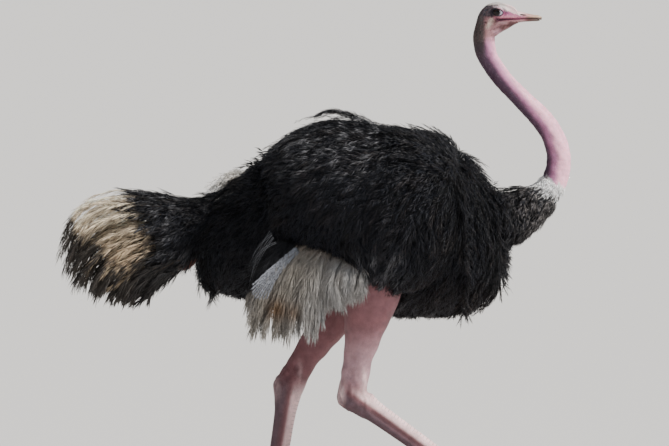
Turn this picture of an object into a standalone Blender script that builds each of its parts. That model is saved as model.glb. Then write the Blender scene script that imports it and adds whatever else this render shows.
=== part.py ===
"""A life-size male Masai ostrich in mid stride, on a display base, as separate solids for its named parts.

Metres, +Z up. The bird faces +X, its left side is +Y, and the origin is the middle of the base's underside.
Solids reach to the tips of the feathers. Each is a row of rings carried along the part, and a part that is
rooted in another is cut back by a slightly grown copy of it, so that neighbours meet with a hair's gap.
"""

import math

import bmesh
import bpy
import numpy as np

# The display base, a flat board that carries the planted foot.
BASE_LENGTH = 1.16
BASE_WIDTH = 0.56
BASE_THICKNESS = 0.030
BASE_EDGE_RADIUS = 0.004

GAP = 0.0005  # the clearance between neighbouring solids
LEFT, RIGHT = 1, -1

# Joint centres as (x, y, z). The left foot is planted and the right one swings forward above the base.
KNEES = {LEFT: (0.036, 0.165, 1.000), RIGHT: (0.068, -0.165, 1.068)}
HOCKS = {LEFT: (-0.256, 0.105, 0.558), RIGHT: (-0.036, -0.115, 0.549)}
KNUCKLES = {LEFT: (-0.333, 0.060, BASE_THICKNESS + 0.085), RIGHT: (0.343, -0.085, 0.267)}
TOE_PITCH = {LEFT: 0.0, RIGHT: -48.0}  # degrees that the toes point below level
TOE_CURL = {LEFT: 0.0, RIGHT: -26.0}  # degrees more, from knuckle to toe tip
CALF_FULLNESS = {LEFT: 0.84, RIGHT: 1.0}  # the stretched calf is slimmer than the drawn-up one
NAMES = {LEFT: "left", RIGHT: "right"}

EYE_RADIUS = 0.0215
EYE_CENTRE = (0.448, 0.0255, 1.848)

# Colours as linear RGB, then roughness.
MATERIALS = {
    "black_plumage": ((0.010, 0.010, 0.012), 0.75),
    "white_plumage": ((0.48, 0.42, 0.33), 0.85),
    "tawny_plumage": ((0.36, 0.24, 0.13), 0.85),
    "neck_skin": ((0.62, 0.36, 0.38), 0.55),
    "head_down": ((0.26, 0.20, 0.17), 0.80),
    "bill_horn": ((0.60, 0.28, 0.26), 0.45),
    "eye": ((0.020, 0.012, 0.010), 0.08),
    "leg_skin": ((0.50, 0.24, 0.22), 0.55),
    "claw_horn": ((0.10, 0.08, 0.07), 0.40),
    "base_board": ((0.30, 0.29, 0.27), 0.60),
}


def clear_scene():
    for thing in list(bpy.data.objects):
        bpy.data.objects.remove(thing)


def material(name):
    found = bpy.data.materials.get(name)
    if found:
        return found
    colour, roughness = MATERIALS[name]
    made = bpy.data.materials.new(name)
    made.use_nodes = True
    shader = made.node_tree.nodes["Principled BSDF"]
    shader.inputs["Base Color"].default_value = (*colour, 1.0)
    shader.inputs["Roughness"].default_value = roughness
    shader.inputs["Metallic"].default_value = 0.0
    return made


def smooth_rows(rows, count):
    """count rows on a Catmull-Rom curve through the given rows, evenly spaced in parameter."""
    rows = np.array(rows, float)
    padded = np.vstack([2 * rows[0] - rows[1], rows, 2 * rows[-1] - rows[-2]])
    t = np.linspace(0, len(rows) - 1, count)
    i = np.minimum(t.astype(int), len(rows) - 2)
    s = (t - i)[:, None]
    a, b, c, d = (padded[i + k] for k in range(4))
    return b + 0.5 * s * (c - a + s * (2 * a - 5 * b + 4 * c - d + s * (3 * (b - c) + d - a)))


def rings_round(centre, up, side, above, below, half_width, sides, taper=0.0, fullness=2.0):
    """Rings of points. Each is a superellipse round centre that reaches above, below and half_width to its sides.

    taper narrows the lower half towards its keel, and fullness over 2 squares the section.
    """
    angle = np.linspace(0, 2 * math.pi, sides, endpoint=False)
    power = 2.0 / fullness
    rise = np.sign(np.cos(angle)) * np.abs(np.cos(angle)) ** power
    out = np.sign(np.sin(angle)) * np.abs(np.sin(angle)) ** power
    out = out * (1 - taper * np.clip(-rise, 0, 1) ** 1.5)
    reach = np.where(rise > 0, above[:, None], below[:, None]) * rise
    spread = half_width[:, None] * out
    return centre[:, None] + reach[..., None] * up[:, None] + spread[..., None] * side[:, None]


def solid(name, rings, slot):
    """One closed mesh object over a stack of rings, with flat ends."""
    count, sides = rings.shape[:2]
    mesh = bpy.data.meshes.new(name)
    work = bmesh.new()
    points = [[work.verts.new(p) for p in ring] for ring in rings]
    for near, far in zip(points, points[1:]):
        for k in range(sides):
            n = (k + 1) % sides
            work.faces.new((near[k], near[n], far[n], far[k]))
    work.faces.new(points[0])
    work.faces.new(points[-1])
    bmesh.ops.recalc_face_normals(work, faces=work.faces)
    work.to_mesh(mesh)
    work.free()
    mesh.shade_smooth()
    mesh.set_sharp_from_angle(angle=math.radians(60))
    mesh.materials.append(material(slot))
    made = bpy.data.objects.new(name, mesh)
    bpy.context.scene.collection.objects.link(made)
    return made


def body_between(name, rows, slot, count, sides, y=0.0, **shape):
    """A solid between an upper and a lower line in the plane of the given y.

    Each row is upper x, upper z, lower x, lower z, half width.
    """
    rows = smooth_rows(rows, count)
    upper = np.stack([rows[:, 0], np.full(count, y), rows[:, 1]], axis=1)
    lower = np.stack([rows[:, 2], np.full(count, y), rows[:, 3]], axis=1)
    half = np.linalg.norm(upper - lower, axis=1) / 2
    up = (upper - lower) / (2 * half[:, None])
    side = np.tile([0.0, 1.0, 0.0], (count, 1))
    rings = rings_round((upper + lower) / 2, up, side, half, half, rows[:, 4], sides, **shape)
    return solid(name, rings, slot)


def limb(name, start, end, profile, slot, count, sides, fullness=1.0):
    """A leg bone's length of flesh from one joint centre to the next.

    Each profile row is share of the length, front reach, back reach, half width; fullness swells the fleshy end.
    """
    rows = smooth_rows(profile, count)
    start, end = np.array(start), np.array(end)
    along = (end - start) / np.linalg.norm(end - start)
    side = np.array([0.0, 1.0, 0.0]) - along[1] * along
    side /= np.linalg.norm(side)
    front = np.cross(along, side)
    front *= np.sign(front[0])
    centre = start + rows[:, :1] * (end - start)
    swell = fullness + (1 - fullness) * np.clip(rows[:, 0], 0, 1)
    frames = (np.tile(v, (count, 1)) for v in (front, side))
    rings = rings_round(centre, *frames, rows[:, 1] * swell, rows[:, 2] * swell, rows[:, 3] * swell, sides)
    return solid(name, rings, slot)


def ball(name, centre, radii, slot, rings=7, sides=12):
    """An ellipsoid as rings from pole to pole."""
    lat = np.linspace(-math.pi / 2, math.pi / 2, rings + 2)[1:-1]
    centres = np.array(centre) + np.outer(np.sin(lat), [0, 0, radii[2]])
    up = np.tile([1.0, 0.0, 0.0], (rings, 1))
    side = np.tile([0.0, 1.0, 0.0], (rings, 1))
    reach = radii[0] * np.cos(lat)
    return solid(name, rings_round(centres, up, side, reach, reach, radii[1] * np.cos(lat), sides), slot)


def grown(piece):
    """A hidden copy of a piece, GAP larger all round, that cuts its neighbours."""
    name = piece.name + "_cutter"
    found = bpy.data.objects.get(name)
    if found:
        return found
    made = bpy.data.objects.new(name, piece.data)
    bpy.context.scene.collection.objects.link(made)
    made.hide_render = True
    made.display_type = "WIRE"
    swell = made.modifiers.new("swell", "DISPLACE")
    swell.strength = GAP
    swell.mid_level = 0.0
    return made


def cut_back(piece, *neighbours):
    """Takes each neighbour's room out of a piece."""
    for neighbour in neighbours:
        cut = piece.modifiers.new("cut_by_" + neighbour.name, "BOOLEAN")
        cut.operation = "DIFFERENCE"
        cut.object = grown(neighbour)


# --- trunk: rump to breast, out to the tips of its black feathers ---

TRUNK_ROWS = (
    (-0.588, 1.120, -0.588, 1.010, 0.045),
    (-0.540, 1.198, -0.537, 0.925, 0.115),
    (-0.435, 1.285, -0.440, 0.880, 0.180),
    (-0.285, 1.385, -0.272, 0.856, 0.232),
    (-0.115, 1.448, -0.102, 0.832, 0.262),
    (0.060, 1.466, 0.085, 0.812, 0.272),
    (0.225, 1.442, 0.238, 0.805, 0.258),
    (0.335, 1.372, 0.350, 0.815, 0.222),
    (0.408, 1.270, 0.425, 0.853, 0.168),
    (0.455, 1.160, 0.462, 0.915, 0.105),
    (0.472, 1.080, 0.475, 0.985, 0.045),
)


def make_trunk():
    return body_between("trunk", TRUNK_ROWS, "black_plumage", 21, 22, taper=0.32)


# --- neck: bare lengths, the white collar and the feathered root ---

NECK_TOP = 1.760
# Centre x, centre z, radius, from the throat down to the root inside the breast.
NECK_ROWS = (
    (0.4030, NECK_TOP, 0.0385),
    (0.4090, 1.714, 0.0365),
    (0.4300, 1.670, 0.0340),
    (0.4760, 1.609, 0.0330),
    (0.5320, 1.552, 0.0340),
    (0.5900, 1.494, 0.0370),
    (0.6300, 1.441, 0.0385),
    (0.6540, 1.379, 0.0410),
    (0.6560, 1.320, 0.0430),
    (0.6400, 1.268, 0.0480),
    (0.6050, 1.224, 0.0620),
    (0.5500, 1.183, 0.0860),
    (0.4800, 1.150, 0.1130),
    (0.3950, 1.135, 0.1280),
)
# Name, first and last row, slot, rings.
NECK_LENGTHS = (
    ("neck_upper", 0, 3, "neck_skin", 10),
    ("neck_middle", 3, 6, "neck_skin", 9),
    ("neck_lower", 6, 9, "neck_skin", 9),
    ("neck_collar", 9, 10, "white_plumage", 4),
    ("neck_root", 10, 13, "black_plumage", 8),
)
NECK_NARROWING = 0.90  # a neck is narrower across than deep
NECK_SIDES = 16
NECK_FINE = 40  # samples of the centre line for each row


def make_neck():
    """The neck as one tube, parted square to its centre line."""
    fine = smooth_rows(NECK_ROWS, (len(NECK_ROWS) - 1) * NECK_FINE + 1)
    line = np.stack([fine[:, 0], np.zeros(len(fine)), fine[:, 1]], axis=1)
    along = np.gradient(line, axis=0)
    along[0] = (0, 0, -1)
    along /= np.linalg.norm(along, axis=1)[:, None]
    back = np.cross(along, [0.0, 1.0, 0.0])
    pieces = []
    for name, first, last, slot, count in NECK_LENGTHS:
        at = np.linspace(first * NECK_FINE, last * NECK_FINE, count).round().astype(int)
        centre = line[at].copy()
        centre[0] += along[at[0]] * GAP / 2
        centre[-1] -= along[at[-1]] * GAP / 2
        radius = fine[at, 2]
        side = np.tile([0.0, 1.0, 0.0], (count, 1))
        rings = rings_round(centre, back[at], side, radius, radius, radius * NECK_NARROWING, NECK_SIDES)
        pieces.append(solid(name, rings, slot))
    return pieces


# --- head: braincase, cheeks and jaw, the two halves of the bill, and the eyes ---

HEAD_ROWS = (
    (0.3645, NECK_TOP + GAP, 0.4415, NECK_TOP + GAP, 0.0345),
    (0.3680, 1.802, 0.4500, 1.7680, 0.0360),
    (0.3800, 1.844, 0.4630, 1.7770, 0.0390),
    (0.4060, 1.874, 0.4740, 1.7835, 0.0420),
    (0.4450, 1.886, 0.4840, 1.7890, 0.0420),
    (0.4820, 1.880, 0.4970, 1.7970, 0.0360),
    (0.5050, 1.867, 0.5090, 1.8045, 0.0300),
    (0.5200, 1.853, 0.5200, 1.8115, 0.0265),
)
BILL_ROOT = 0.5200 + GAP
UPPER_BILL_ROWS = (
    (BILL_ROOT, 1.8525, BILL_ROOT, 1.8242, 0.0265),
    (0.5350, 1.8450, 0.5350, 1.8246, 0.0245),
    (0.5600, 1.8385, 0.5600, 1.8256, 0.0220),
    (0.5820, 1.8340, 0.5820, 1.8250, 0.0165),
    (0.5940, 1.8300, 0.5940, 1.8215, 0.0110),
    (0.5990, 1.8260, 0.5990, 1.8205, 0.0050),
)
LOWER_BILL_ROWS = (
    (BILL_ROOT, 1.8236, BILL_ROOT, 1.8115, 0.0250),
    (0.5400, 1.8240, 0.5400, 1.8132, 0.0225),
    (0.5650, 1.8249, 0.5650, 1.8155, 0.0190),
    (0.5830, 1.8240, 0.5830, 1.8175, 0.0135),
    (0.5910, 1.8210, 0.5910, 1.8185, 0.0060),
)


def make_head():
    head = body_between("head", HEAD_ROWS, "head_down", 15, 18)
    bill = [
        body_between("bill_upper", UPPER_BILL_ROWS, "bill_horn", 8, 12, fullness=2.6),
        body_between("bill_lower", LOWER_BILL_ROWS, "bill_horn", 7, 12, fullness=2.6),
    ]
    cut_back(bill[1], bill[0])
    x, y, z = EYE_CENTRE
    for way in (LEFT, RIGHT):
        eye = ball("eye_" + NAMES[way], (x, way * y, z), (EYE_RADIUS,) * 3, "eye")
        cut_back(head, eye)
    return head


# --- tail: black coverts, then the drooping tawny plumes ---

TAIL_ROWS = (
    (-0.440, 1.255, -0.500, 0.985, 0.100),
    (-0.530, 1.238, -0.585, 0.972, 0.115),
    (-0.620, 1.231, -0.640, 0.945, 0.135),
    (-0.705, 1.246, -0.690, 0.915, 0.155),
    (-0.785, 1.250, -0.735, 0.872, 0.165),
)
TAIL_PLUME_ROWS = (
    (-0.785 - 1.5 * GAP, 1.250, -0.735 - 1.5 * GAP, 0.872, 0.165),
    (-0.850, 1.254, -0.790, 0.846, 0.172),
    (-0.905, 1.243, -0.865, 0.848, 0.172),
    (-0.950, 1.210, -0.935, 0.874, 0.160),
    (-0.995, 1.150, -0.990, 0.918, 0.130),
    (-1.030, 1.095, -1.020, 0.960, 0.085),
    (-1.046, 1.050, -1.043, 0.995, 0.030),
)


def make_tail(trunk):
    coverts = body_between("tail_coverts", TAIL_ROWS, "black_plumage", 8, 18)
    plumes = body_between("tail_plumes", TAIL_PLUME_ROWS, "tawny_plumage", 11, 18)
    cut_back(coverts, trunk)
    return coverts, plumes


# --- legs: drumstick, hock, shank and the two-toed foot ---

DRUMSTICK_PROFILE = (
    (-0.05, 0.070, 0.080, 0.060),
    (0.15, 0.088, 0.116, 0.082),
    (0.35, 0.083, 0.110, 0.080),
    (0.52, 0.062, 0.088, 0.066),
    (0.66, 0.046, 0.072, 0.052),
    (0.80, 0.034, 0.065, 0.042),
    (0.90, 0.037, 0.062, 0.042),
    (1.00, 0.045, 0.050, 0.042),
)
# The hock's knob starts the shank, and the knuckle of the toes ends it.
SHANK_PROFILE = (
    (-0.110, 0.022, 0.024, 0.018),
    (-0.080, 0.043, 0.046, 0.036),
    (0.000, 0.055, 0.057, 0.046),
    (0.090, 0.045, 0.047, 0.039),
    (0.180, 0.036, 0.039, 0.031),
    (0.450, 0.034, 0.034, 0.027),
    (0.750, 0.033, 0.030, 0.026),
    (0.900, 0.038, 0.034, 0.031),
    (1.000, 0.041, 0.038, 0.036),
    (1.060, 0.032, 0.030, 0.028),
)
KNUCKLE_HEIGHT = 0.085  # of the knuckle's centre above the sole

# Toe rows are distance forward of the knuckle and height above the sole, upper then lower, and the half width.
MAIN_TOE_ROWS = (
    (0.000, 0.100, -0.005, 0.066, 0.018),
    (0.032, 0.094, 0.014, 0.012, 0.033),
    (0.075, 0.064, 0.065, 0.000, 0.030),
    (0.115, 0.055, 0.112, 0.000, 0.031),
    (0.155, 0.046, 0.155, 0.000, 0.028),
    (0.180, 0.036, 0.182, 0.003, 0.021),
)
SIDE_TOE_ROWS = (
    (0.000, 0.092, -0.005, 0.066, 0.012),
    (0.030, 0.074, 0.018, 0.014, 0.022),
    (0.060, 0.047, 0.055, 0.000, 0.020),
    (0.090, 0.038, 0.090, 0.000, 0.019),
    (0.112, 0.028, 0.113, 0.004, 0.012),
)
MAIN_CLAW_ROWS = (
    (0.168, 0.030, 0.168, 0.010, 0.0120),
    (0.190, 0.029, 0.192, 0.007, 0.0115),
    (0.212, 0.019, 0.214, 0.004, 0.0080),
    (0.228, 0.008, 0.229, 0.003, 0.0035),
)
SIDE_CLAW_ROWS = (
    (0.104, 0.023, 0.104, 0.010, 0.0060),
    (0.118, 0.019, 0.119, 0.008, 0.0055),
    (0.130, 0.010, 0.130, 0.006, 0.0025),
)
# Degrees outward, and the root's distance out from the middle of the knuckle.
SIDE_TOE_SPLAY, SIDE_TOE_OFFSET = 24.0, 0.024
MAIN_TOE_SPLAY, MAIN_TOE_OFFSET = -4.0, -0.006
TOE_REACH = 0.229


def toe(name, rows, way, splay, offset, slot, count, sides):
    """A toe or claw: rings along a level foot, splayed, then pitched and curled about the knuckle."""
    rows = smooth_rows(rows, count)
    still = np.zeros(count)
    upper = np.stack([rows[:, 0], still, rows[:, 1]], axis=1)
    lower = np.stack([rows[:, 2], still, rows[:, 3]], axis=1)
    half = np.linalg.norm(upper - lower, axis=1) / 2
    up = (upper - lower) / (2 * half[:, None])
    across = np.tile([0.0, 1.0, 0.0], (count, 1))
    level = rings_round((upper + lower) / 2, up, across, half, half, rows[:, 4], sides, fullness=2.4)
    turn = way * math.radians(splay)
    forward = level[..., 0] * math.cos(turn) - level[..., 1] * math.sin(turn)
    outward = level[..., 0] * math.sin(turn) + level[..., 1] * math.cos(turn) + way * offset
    height = level[..., 2] - KNUCKLE_HEIGHT
    # The heading turns evenly with the distance, so a point on the sole line lies along half the turn.
    curl = np.radians(TOE_CURL[way]) * np.clip(forward / TOE_REACH, 0, 1)
    pitch = np.radians(TOE_PITCH[way])
    x = forward * np.cos(pitch + curl / 2) - height * np.sin(pitch + curl)
    z = forward * np.sin(pitch + curl / 2) + height * np.cos(pitch + curl)
    rings = np.array(KNUCKLES[way]) + np.stack([x, outward, z], axis=-1)
    if way == LEFT:
        rings[..., 2] = np.maximum(rings[..., 2], BASE_THICKNESS + GAP)
    return solid(name, rings, slot)


def make_leg(way, trunk):
    label = NAMES[way]
    drumstick = limb(
        "drumstick_" + label, KNEES[way], HOCKS[way], DRUMSTICK_PROFILE, "leg_skin", 12, 14, CALF_FULLNESS[way]
    )
    shank = limb("shank_" + label, HOCKS[way], KNUCKLES[way], SHANK_PROFILE, "leg_skin", 15, 12)
    main = (way, MAIN_TOE_SPLAY, MAIN_TOE_OFFSET)
    outer = (way, SIDE_TOE_SPLAY, SIDE_TOE_OFFSET)
    main_toe = toe("toe_main_" + label, MAIN_TOE_ROWS, *main, "leg_skin", 11, 12)
    side_toe = toe("toe_side_" + label, SIDE_TOE_ROWS, *outer, "leg_skin", 9, 10)
    main_claw = toe("claw_main_" + label, MAIN_CLAW_ROWS, *main, "claw_horn", 6, 10)
    side_claw = toe("claw_side_" + label, SIDE_CLAW_ROWS, *outer, "claw_horn", 5, 8)
    cut_back(drumstick, trunk, shank)
    cut_back(main_toe, shank)
    cut_back(side_toe, shank, main_toe)
    cut_back(main_claw, main_toe)
    cut_back(side_claw, side_toe)
    return drumstick


# --- wings: the shaggy folded coverts, and the pale quills that hang below them ---

WING_ROWS = (
    (0.335, 1.290, 0.340, 1.120, 0.020),
    (0.290, 1.375, 0.300, 1.020, 0.085),
    (0.185, 1.435, 0.205, 0.935, 0.130),
    (0.070, 1.468, 0.090, 0.903, 0.148),
    (-0.040, 1.487, 0.000, 0.935, 0.150),
    (-0.140, 1.485, -0.090, 1.012, 0.148),
    (-0.230, 1.452, -0.190, 1.048, 0.130),
    (-0.295, 1.395, -0.265, 1.078, 0.090),
    (-0.322, 1.335, -0.310, 1.150, 0.025),
)
WING_OFFSET = 0.190  # of its middle from the bird's midplane
PLUME_ROWS = (
    (0.000, 0.943, -0.005, 0.903, 0.012),
    (-0.045, 1.008, -0.060, 0.858, 0.050),
    (-0.130, 1.063, -0.140, 0.782, 0.066),
    (-0.235, 1.078, -0.240, 0.746, 0.070),
    (-0.325, 1.008, -0.325, 0.742, 0.060),
    (-0.375, 0.938, -0.372, 0.757, 0.038),
    (-0.394, 0.888, -0.391, 0.825, 0.012),
)
PLUME_OFFSET = 0.235


def make_wing(way, trunk, drumstick, neck_root):
    label = NAMES[way]
    wing = body_between("wing_" + label, WING_ROWS, "black_plumage", 15, 16, y=way * WING_OFFSET)
    plumes = body_between("wing_quills_" + label, PLUME_ROWS, "white_plumage", 12, 14, y=way * PLUME_OFFSET)
    cut_back(wing, trunk, drumstick, neck_root)
    cut_back(plumes, trunk, drumstick, wing)


def make_base():
    """A flat board with rounded edges, standing on the floor."""
    mesh = bpy.data.meshes.new("stand_base")
    work = bmesh.new()
    bmesh.ops.create_cube(work, size=1.0)
    bmesh.ops.scale(work, vec=(BASE_LENGTH, BASE_WIDTH, BASE_THICKNESS), verts=work.verts)
    bmesh.ops.translate(work, vec=(0, 0, BASE_THICKNESS / 2), verts=work.verts)
    top = [e for e in work.edges if max(v.co.z for v in e.verts) > BASE_THICKNESS / 2]
    bmesh.ops.bevel(work, geom=top, offset=BASE_EDGE_RADIUS, segments=2, profile=0.5, affect="EDGES")
    work.to_mesh(mesh)
    work.free()
    mesh.materials.append(material("base_board"))
    bpy.context.scene.collection.objects.link(bpy.data.objects.new("stand_base", mesh))


def make_ostrich():
    clear_scene()
    make_base()
    trunk = make_trunk()
    neck_root = make_neck()[-1]
    cut_back(neck_root, trunk)
    make_head()
    make_tail(trunk)
    for way in (LEFT, RIGHT):
        drumstick = make_leg(way, trunk)
        make_wing(way, trunk, drumstick, neck_root)


make_ostrich()
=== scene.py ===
import math

import bmesh
import bpy
import numpy as np
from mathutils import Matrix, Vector


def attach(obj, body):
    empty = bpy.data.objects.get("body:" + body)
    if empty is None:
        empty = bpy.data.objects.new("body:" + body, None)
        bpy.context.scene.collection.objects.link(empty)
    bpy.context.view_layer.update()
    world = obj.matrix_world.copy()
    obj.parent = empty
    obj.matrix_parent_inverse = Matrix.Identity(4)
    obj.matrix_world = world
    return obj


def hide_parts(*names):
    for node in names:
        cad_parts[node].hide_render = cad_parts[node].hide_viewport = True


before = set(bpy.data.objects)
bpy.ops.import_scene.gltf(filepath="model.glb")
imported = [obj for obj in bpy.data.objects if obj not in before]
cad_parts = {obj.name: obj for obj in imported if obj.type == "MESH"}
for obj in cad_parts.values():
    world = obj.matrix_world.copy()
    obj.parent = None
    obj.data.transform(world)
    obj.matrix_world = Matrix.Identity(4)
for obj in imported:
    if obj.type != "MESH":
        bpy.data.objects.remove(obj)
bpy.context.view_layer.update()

# --- Skin ---
# Bare pink skin on the head, neck and legs, and dark skin under the plumage, all one closed surface.
# Rings of points are carried along the neck, trunk, wings, tail, legs and toes, and then welded together.

LEFT, RIGHT = 1, -1
SIDES = ((LEFT, "left"), (RIGHT, "right"))
COAT_DEPTH = 0.028  # how far the body's skin lies under the tips of its plumage
TAIL_COAT_DEPTH = 0.03
KEEL = 0.32  # share of its width that the trunk loses at the breastbone
EYE = np.array([0.448, 0.0255, 1.848])
EYE_RADIUS = 0.0215
EYE_OPENING = (0.0185, 0.0112)  # half the length and half the height between the lids
EYE_SLANT = math.radians(-9)  # the front corner is the lower one
MOUTH_CORNER = (0.444, 1.8215)
MOUTH_RISE = 0.04  # of the mouth line for each metre forward
COLLAR_TOP = np.array([0.64, 0.0, 1.268])
COLLAR_WAY = np.array([-0.49, 0.0, -0.87])  # down the neck through the collar
# The edge of the painted shade on the back of the neck: height, then how far forward it is.
NECK_SHADE = np.array([
    (1.26, 0.628), (1.35, 0.636), (1.455, 0.604), (1.55, 0.529), (1.63, 0.466), (1.70, 0.421), (1.75, 0.408),
])

BLACK_SKIN = (0.004, 0.004, 0.005)
COLLAR_WHITE = (0.62, 0.6, 0.58)
NECK_PINK = (0.51, 0.205, 0.34)
# Painted shade for the back of the neck, and a painted highlight for its front.
NECK_PAINTED_SHADE = (0.048, 0.027, 0.048)
NECK_PAINTED_HIGHLIGHT = (0.86, 0.44, 0.535)
VENT_BROWN = (0.16, 0.06, 0.045)
NAPE_BROWN = (0.045, 0.036, 0.033)
CAP_SLATE = (0.03, 0.026, 0.034)
FLECK_GREY = (0.12, 0.105, 0.095)
LORES_DEEP = (0.38, 0.105, 0.205)
# Magenta lores, with a painted highlight along a band above the mouth.
LORES_PAINTED_HIGHLIGHT = (0.52, 0.205, 0.29)
LIP_RED = (0.36, 0.12, 0.155)
LORES_LINE = (0.105, 0.03, 0.085)
CROWN_CREAM = (0.56, 0.49, 0.46)
CROWN_PINK = (0.7, 0.5, 0.49)
BROW_PINK = (0.56, 0.43, 0.46)
GAPE_DEEP = (0.075, 0.009, 0.026)
GAPE_WINE = (0.2, 0.045, 0.085)
# Painted shade in the slit between the lips.
MOUTH_SLIT_SHADE = (0.02, 0.006, 0.01)
LID_SLATE = (0.022, 0.017, 0.024)
LEG_DUSK = (0.19, 0.082, 0.09)
# Painted shade behind the shank, and a painted highlight down its front.
SHANK_REAR_SHADE = (0.12, 0.072, 0.086)
SHANK_FRONT_HIGHLIGHT = (0.84, 0.59, 0.59)
CALF_PALE = (0.4, 0.25, 0.275)
# Pale pink of the painted highlights on the hock's folds.
HOCK_HIGHLIGHT_PINK = (0.74, 0.52, 0.52)
FOOT_GREY = (0.21, 0.13, 0.115)
# Points round a ring.
HEAD_RING = 160
LEG_RING = 52
TOE_RING = 36
# Lengths of the horny plates on the fronts of the shanks and on the toes, then how far their seams are apart.
SHANK_SCUTE = 0.0125
TOE_SCUTE = 0.0075
SHANK_SEAM = 0.0135
TOE_SEAM = 0.0085

# A row of a ring's sizes is its upper x and z, its lower x and z and its half width.
# The head's rows run from the bill's root to the throat.
HEAD_ROWS = np.array([
    (0.5200, 1.8450, 0.5290, 1.8172, 0.0172),
    (0.5110, 1.8585, 0.5190, 1.8100, 0.0249),
    (0.5000, 1.8672, 0.5070, 1.8045, 0.0296),
    (0.4800, 1.8755, 0.4955, 1.7975, 0.0340),
    (0.4480, 1.8805, 0.4825, 1.7895, 0.0380),
    (0.4140, 1.8710, 0.4715, 1.7840, 0.0385),
    (0.3885, 1.8440, 0.4605, 1.7775, 0.0370),
    (0.3755, 1.8050, 0.4495, 1.7700, 0.0352),
])
# Down the neck: middle x and z, radius.
NECK_LINE = np.array([
    (0.4035, 1.7600, 0.0368),
    (0.4090, 1.7140, 0.0352),
    (0.4300, 1.6700, 0.0328),
    (0.4760, 1.6090, 0.0318),
    (0.5320, 1.5520, 0.0328),
    (0.5900, 1.4940, 0.0357),
    (0.6300, 1.4410, 0.0373),
    (0.6540, 1.3790, 0.0397),
    (0.6560, 1.3200, 0.0415),
    (0.6400, 1.2680, 0.0440),
    (0.6050, 1.2240, 0.0500),
    (0.5500, 1.1830, 0.0680),
    (0.4800, 1.1500, 0.0880),
    (0.3950, 1.1350, 0.1020),
])
TRUNK_ROWS = np.array([
    (-0.588, 1.120, -0.588, 1.010, 0.045),
    (-0.540, 1.198, -0.537, 0.925, 0.115),
    (-0.435, 1.285, -0.440, 0.880, 0.180),
    (-0.285, 1.385, -0.272, 0.856, 0.232),
    (-0.115, 1.448, -0.102, 0.832, 0.262),
    (0.060, 1.466, 0.085, 0.812, 0.272),
    (0.225, 1.442, 0.238, 0.805, 0.258),
    (0.335, 1.372, 0.350, 0.815, 0.222),
    (0.408, 1.270, 0.425, 0.853, 0.168),
    (0.455, 1.160, 0.462, 0.915, 0.105),
    (0.472, 1.080, 0.475, 0.985, 0.045),
])
WING_ROWS = np.array([
    (0.335, 1.290, 0.340, 1.120, 0.020),
    (0.290, 1.375, 0.300, 1.020, 0.085),
    (0.185, 1.435, 0.205, 0.935, 0.130),
    (0.070, 1.468, 0.090, 0.903, 0.148),
    (-0.040, 1.487, 0.000, 0.935, 0.150),
    (-0.140, 1.485, -0.090, 1.012, 0.148),
    (-0.230, 1.452, -0.190, 1.048, 0.130),
    (-0.295, 1.395, -0.265, 1.078, 0.090),
    (-0.322, 1.335, -0.310, 1.150, 0.025),
])
WING_OUT = 0.19  # from the midplane to each wing's middle
TAIL_ROWS = np.array([
    (-0.440, 1.255, -0.500, 0.985, 0.100),
    (-0.530, 1.238, -0.585, 0.972, 0.115),
    (-0.620, 1.231, -0.640, 0.945, 0.135),
    (-0.705, 1.246, -0.690, 0.915, 0.155),
    (-0.785, 1.250, -0.735, 0.872, 0.165),
])
# The vent bulges bare below the root of the tail.
VENT = np.array([-0.608, 0.0, 0.99])
VENT_ROWS = np.array([
    (-0.560, 1.055, -0.560, 1.015, 0.016),
    (-0.588, 1.050, -0.585, 0.985, 0.028),
    (-0.612, 1.030, -0.606, 0.970, 0.030),
    (-0.632, 1.005, -0.622, 0.968, 0.022),
    (-0.640, 0.992, -0.634, 0.974, 0.008),
])
# The joints of each leg from knee to hock to knuckle.
KNEE = {LEFT: (0.036, 0.165, 1.0), RIGHT: (0.068, -0.165, 1.068)}
HOCK = {LEFT: (-0.256, 0.105, 0.558), RIGHT: (-0.036, -0.115, 0.549)}
KNUCKLE = {LEFT: (-0.333, 0.06, 0.115), RIGHT: (0.343, -0.085, 0.267)}
CALF_FULLNESS = {LEFT: 0.84, RIGHT: 1.0}
# Share of the bone's length, then the reach of the flesh to the front, to the back and to each side.
CALF_ROWS = np.array([
    (-0.05, 0.069, 0.079, 0.059),
    (0.15, 0.087, 0.115, 0.081),
    (0.35, 0.082, 0.109, 0.079),
    (0.52, 0.061, 0.087, 0.065),
    (0.66, 0.045, 0.071, 0.051),
    (0.78, 0.034, 0.063, 0.041),
    (0.88, 0.036, 0.059, 0.040),
])
HOCK_ROW = (0.045, 0.058, 0.045)
CALF_PALENESS = {LEFT: 0.0, RIGHT: 0.7}
# How strong the painted highlights on each hock are.
HOCK_HIGHLIGHT_SHARE = {LEFT: 0.4, RIGHT: 1.0}
SHANK_ROWS = np.array([
    (0.10, 0.040, 0.046, 0.038),
    (0.20, 0.034, 0.038, 0.030),
    (0.45, 0.033, 0.033, 0.026),
    (0.75, 0.032, 0.029, 0.025),
    (0.90, 0.037, 0.033, 0.030),
    (1.00, 0.040, 0.037, 0.035),
    (1.06, 0.030, 0.028, 0.026),
])
KNUCKLE_HEIGHT = 0.085
SOLE = 0.0305  # height of the flat foot's underside, half a millimetre over the board
TOE_REACH = 0.229
TOE_PITCH = {LEFT: 0.0, RIGHT: math.radians(-48)}
TOE_CURL = {LEFT: 0.0, RIGHT: math.radians(-26)}
# How each toe turns out, and how far from the knuckle's middle it starts.
MAIN_TOE = (math.radians(-4), -0.006)
SIDE_TOE = (math.radians(24), 0.024)
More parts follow.
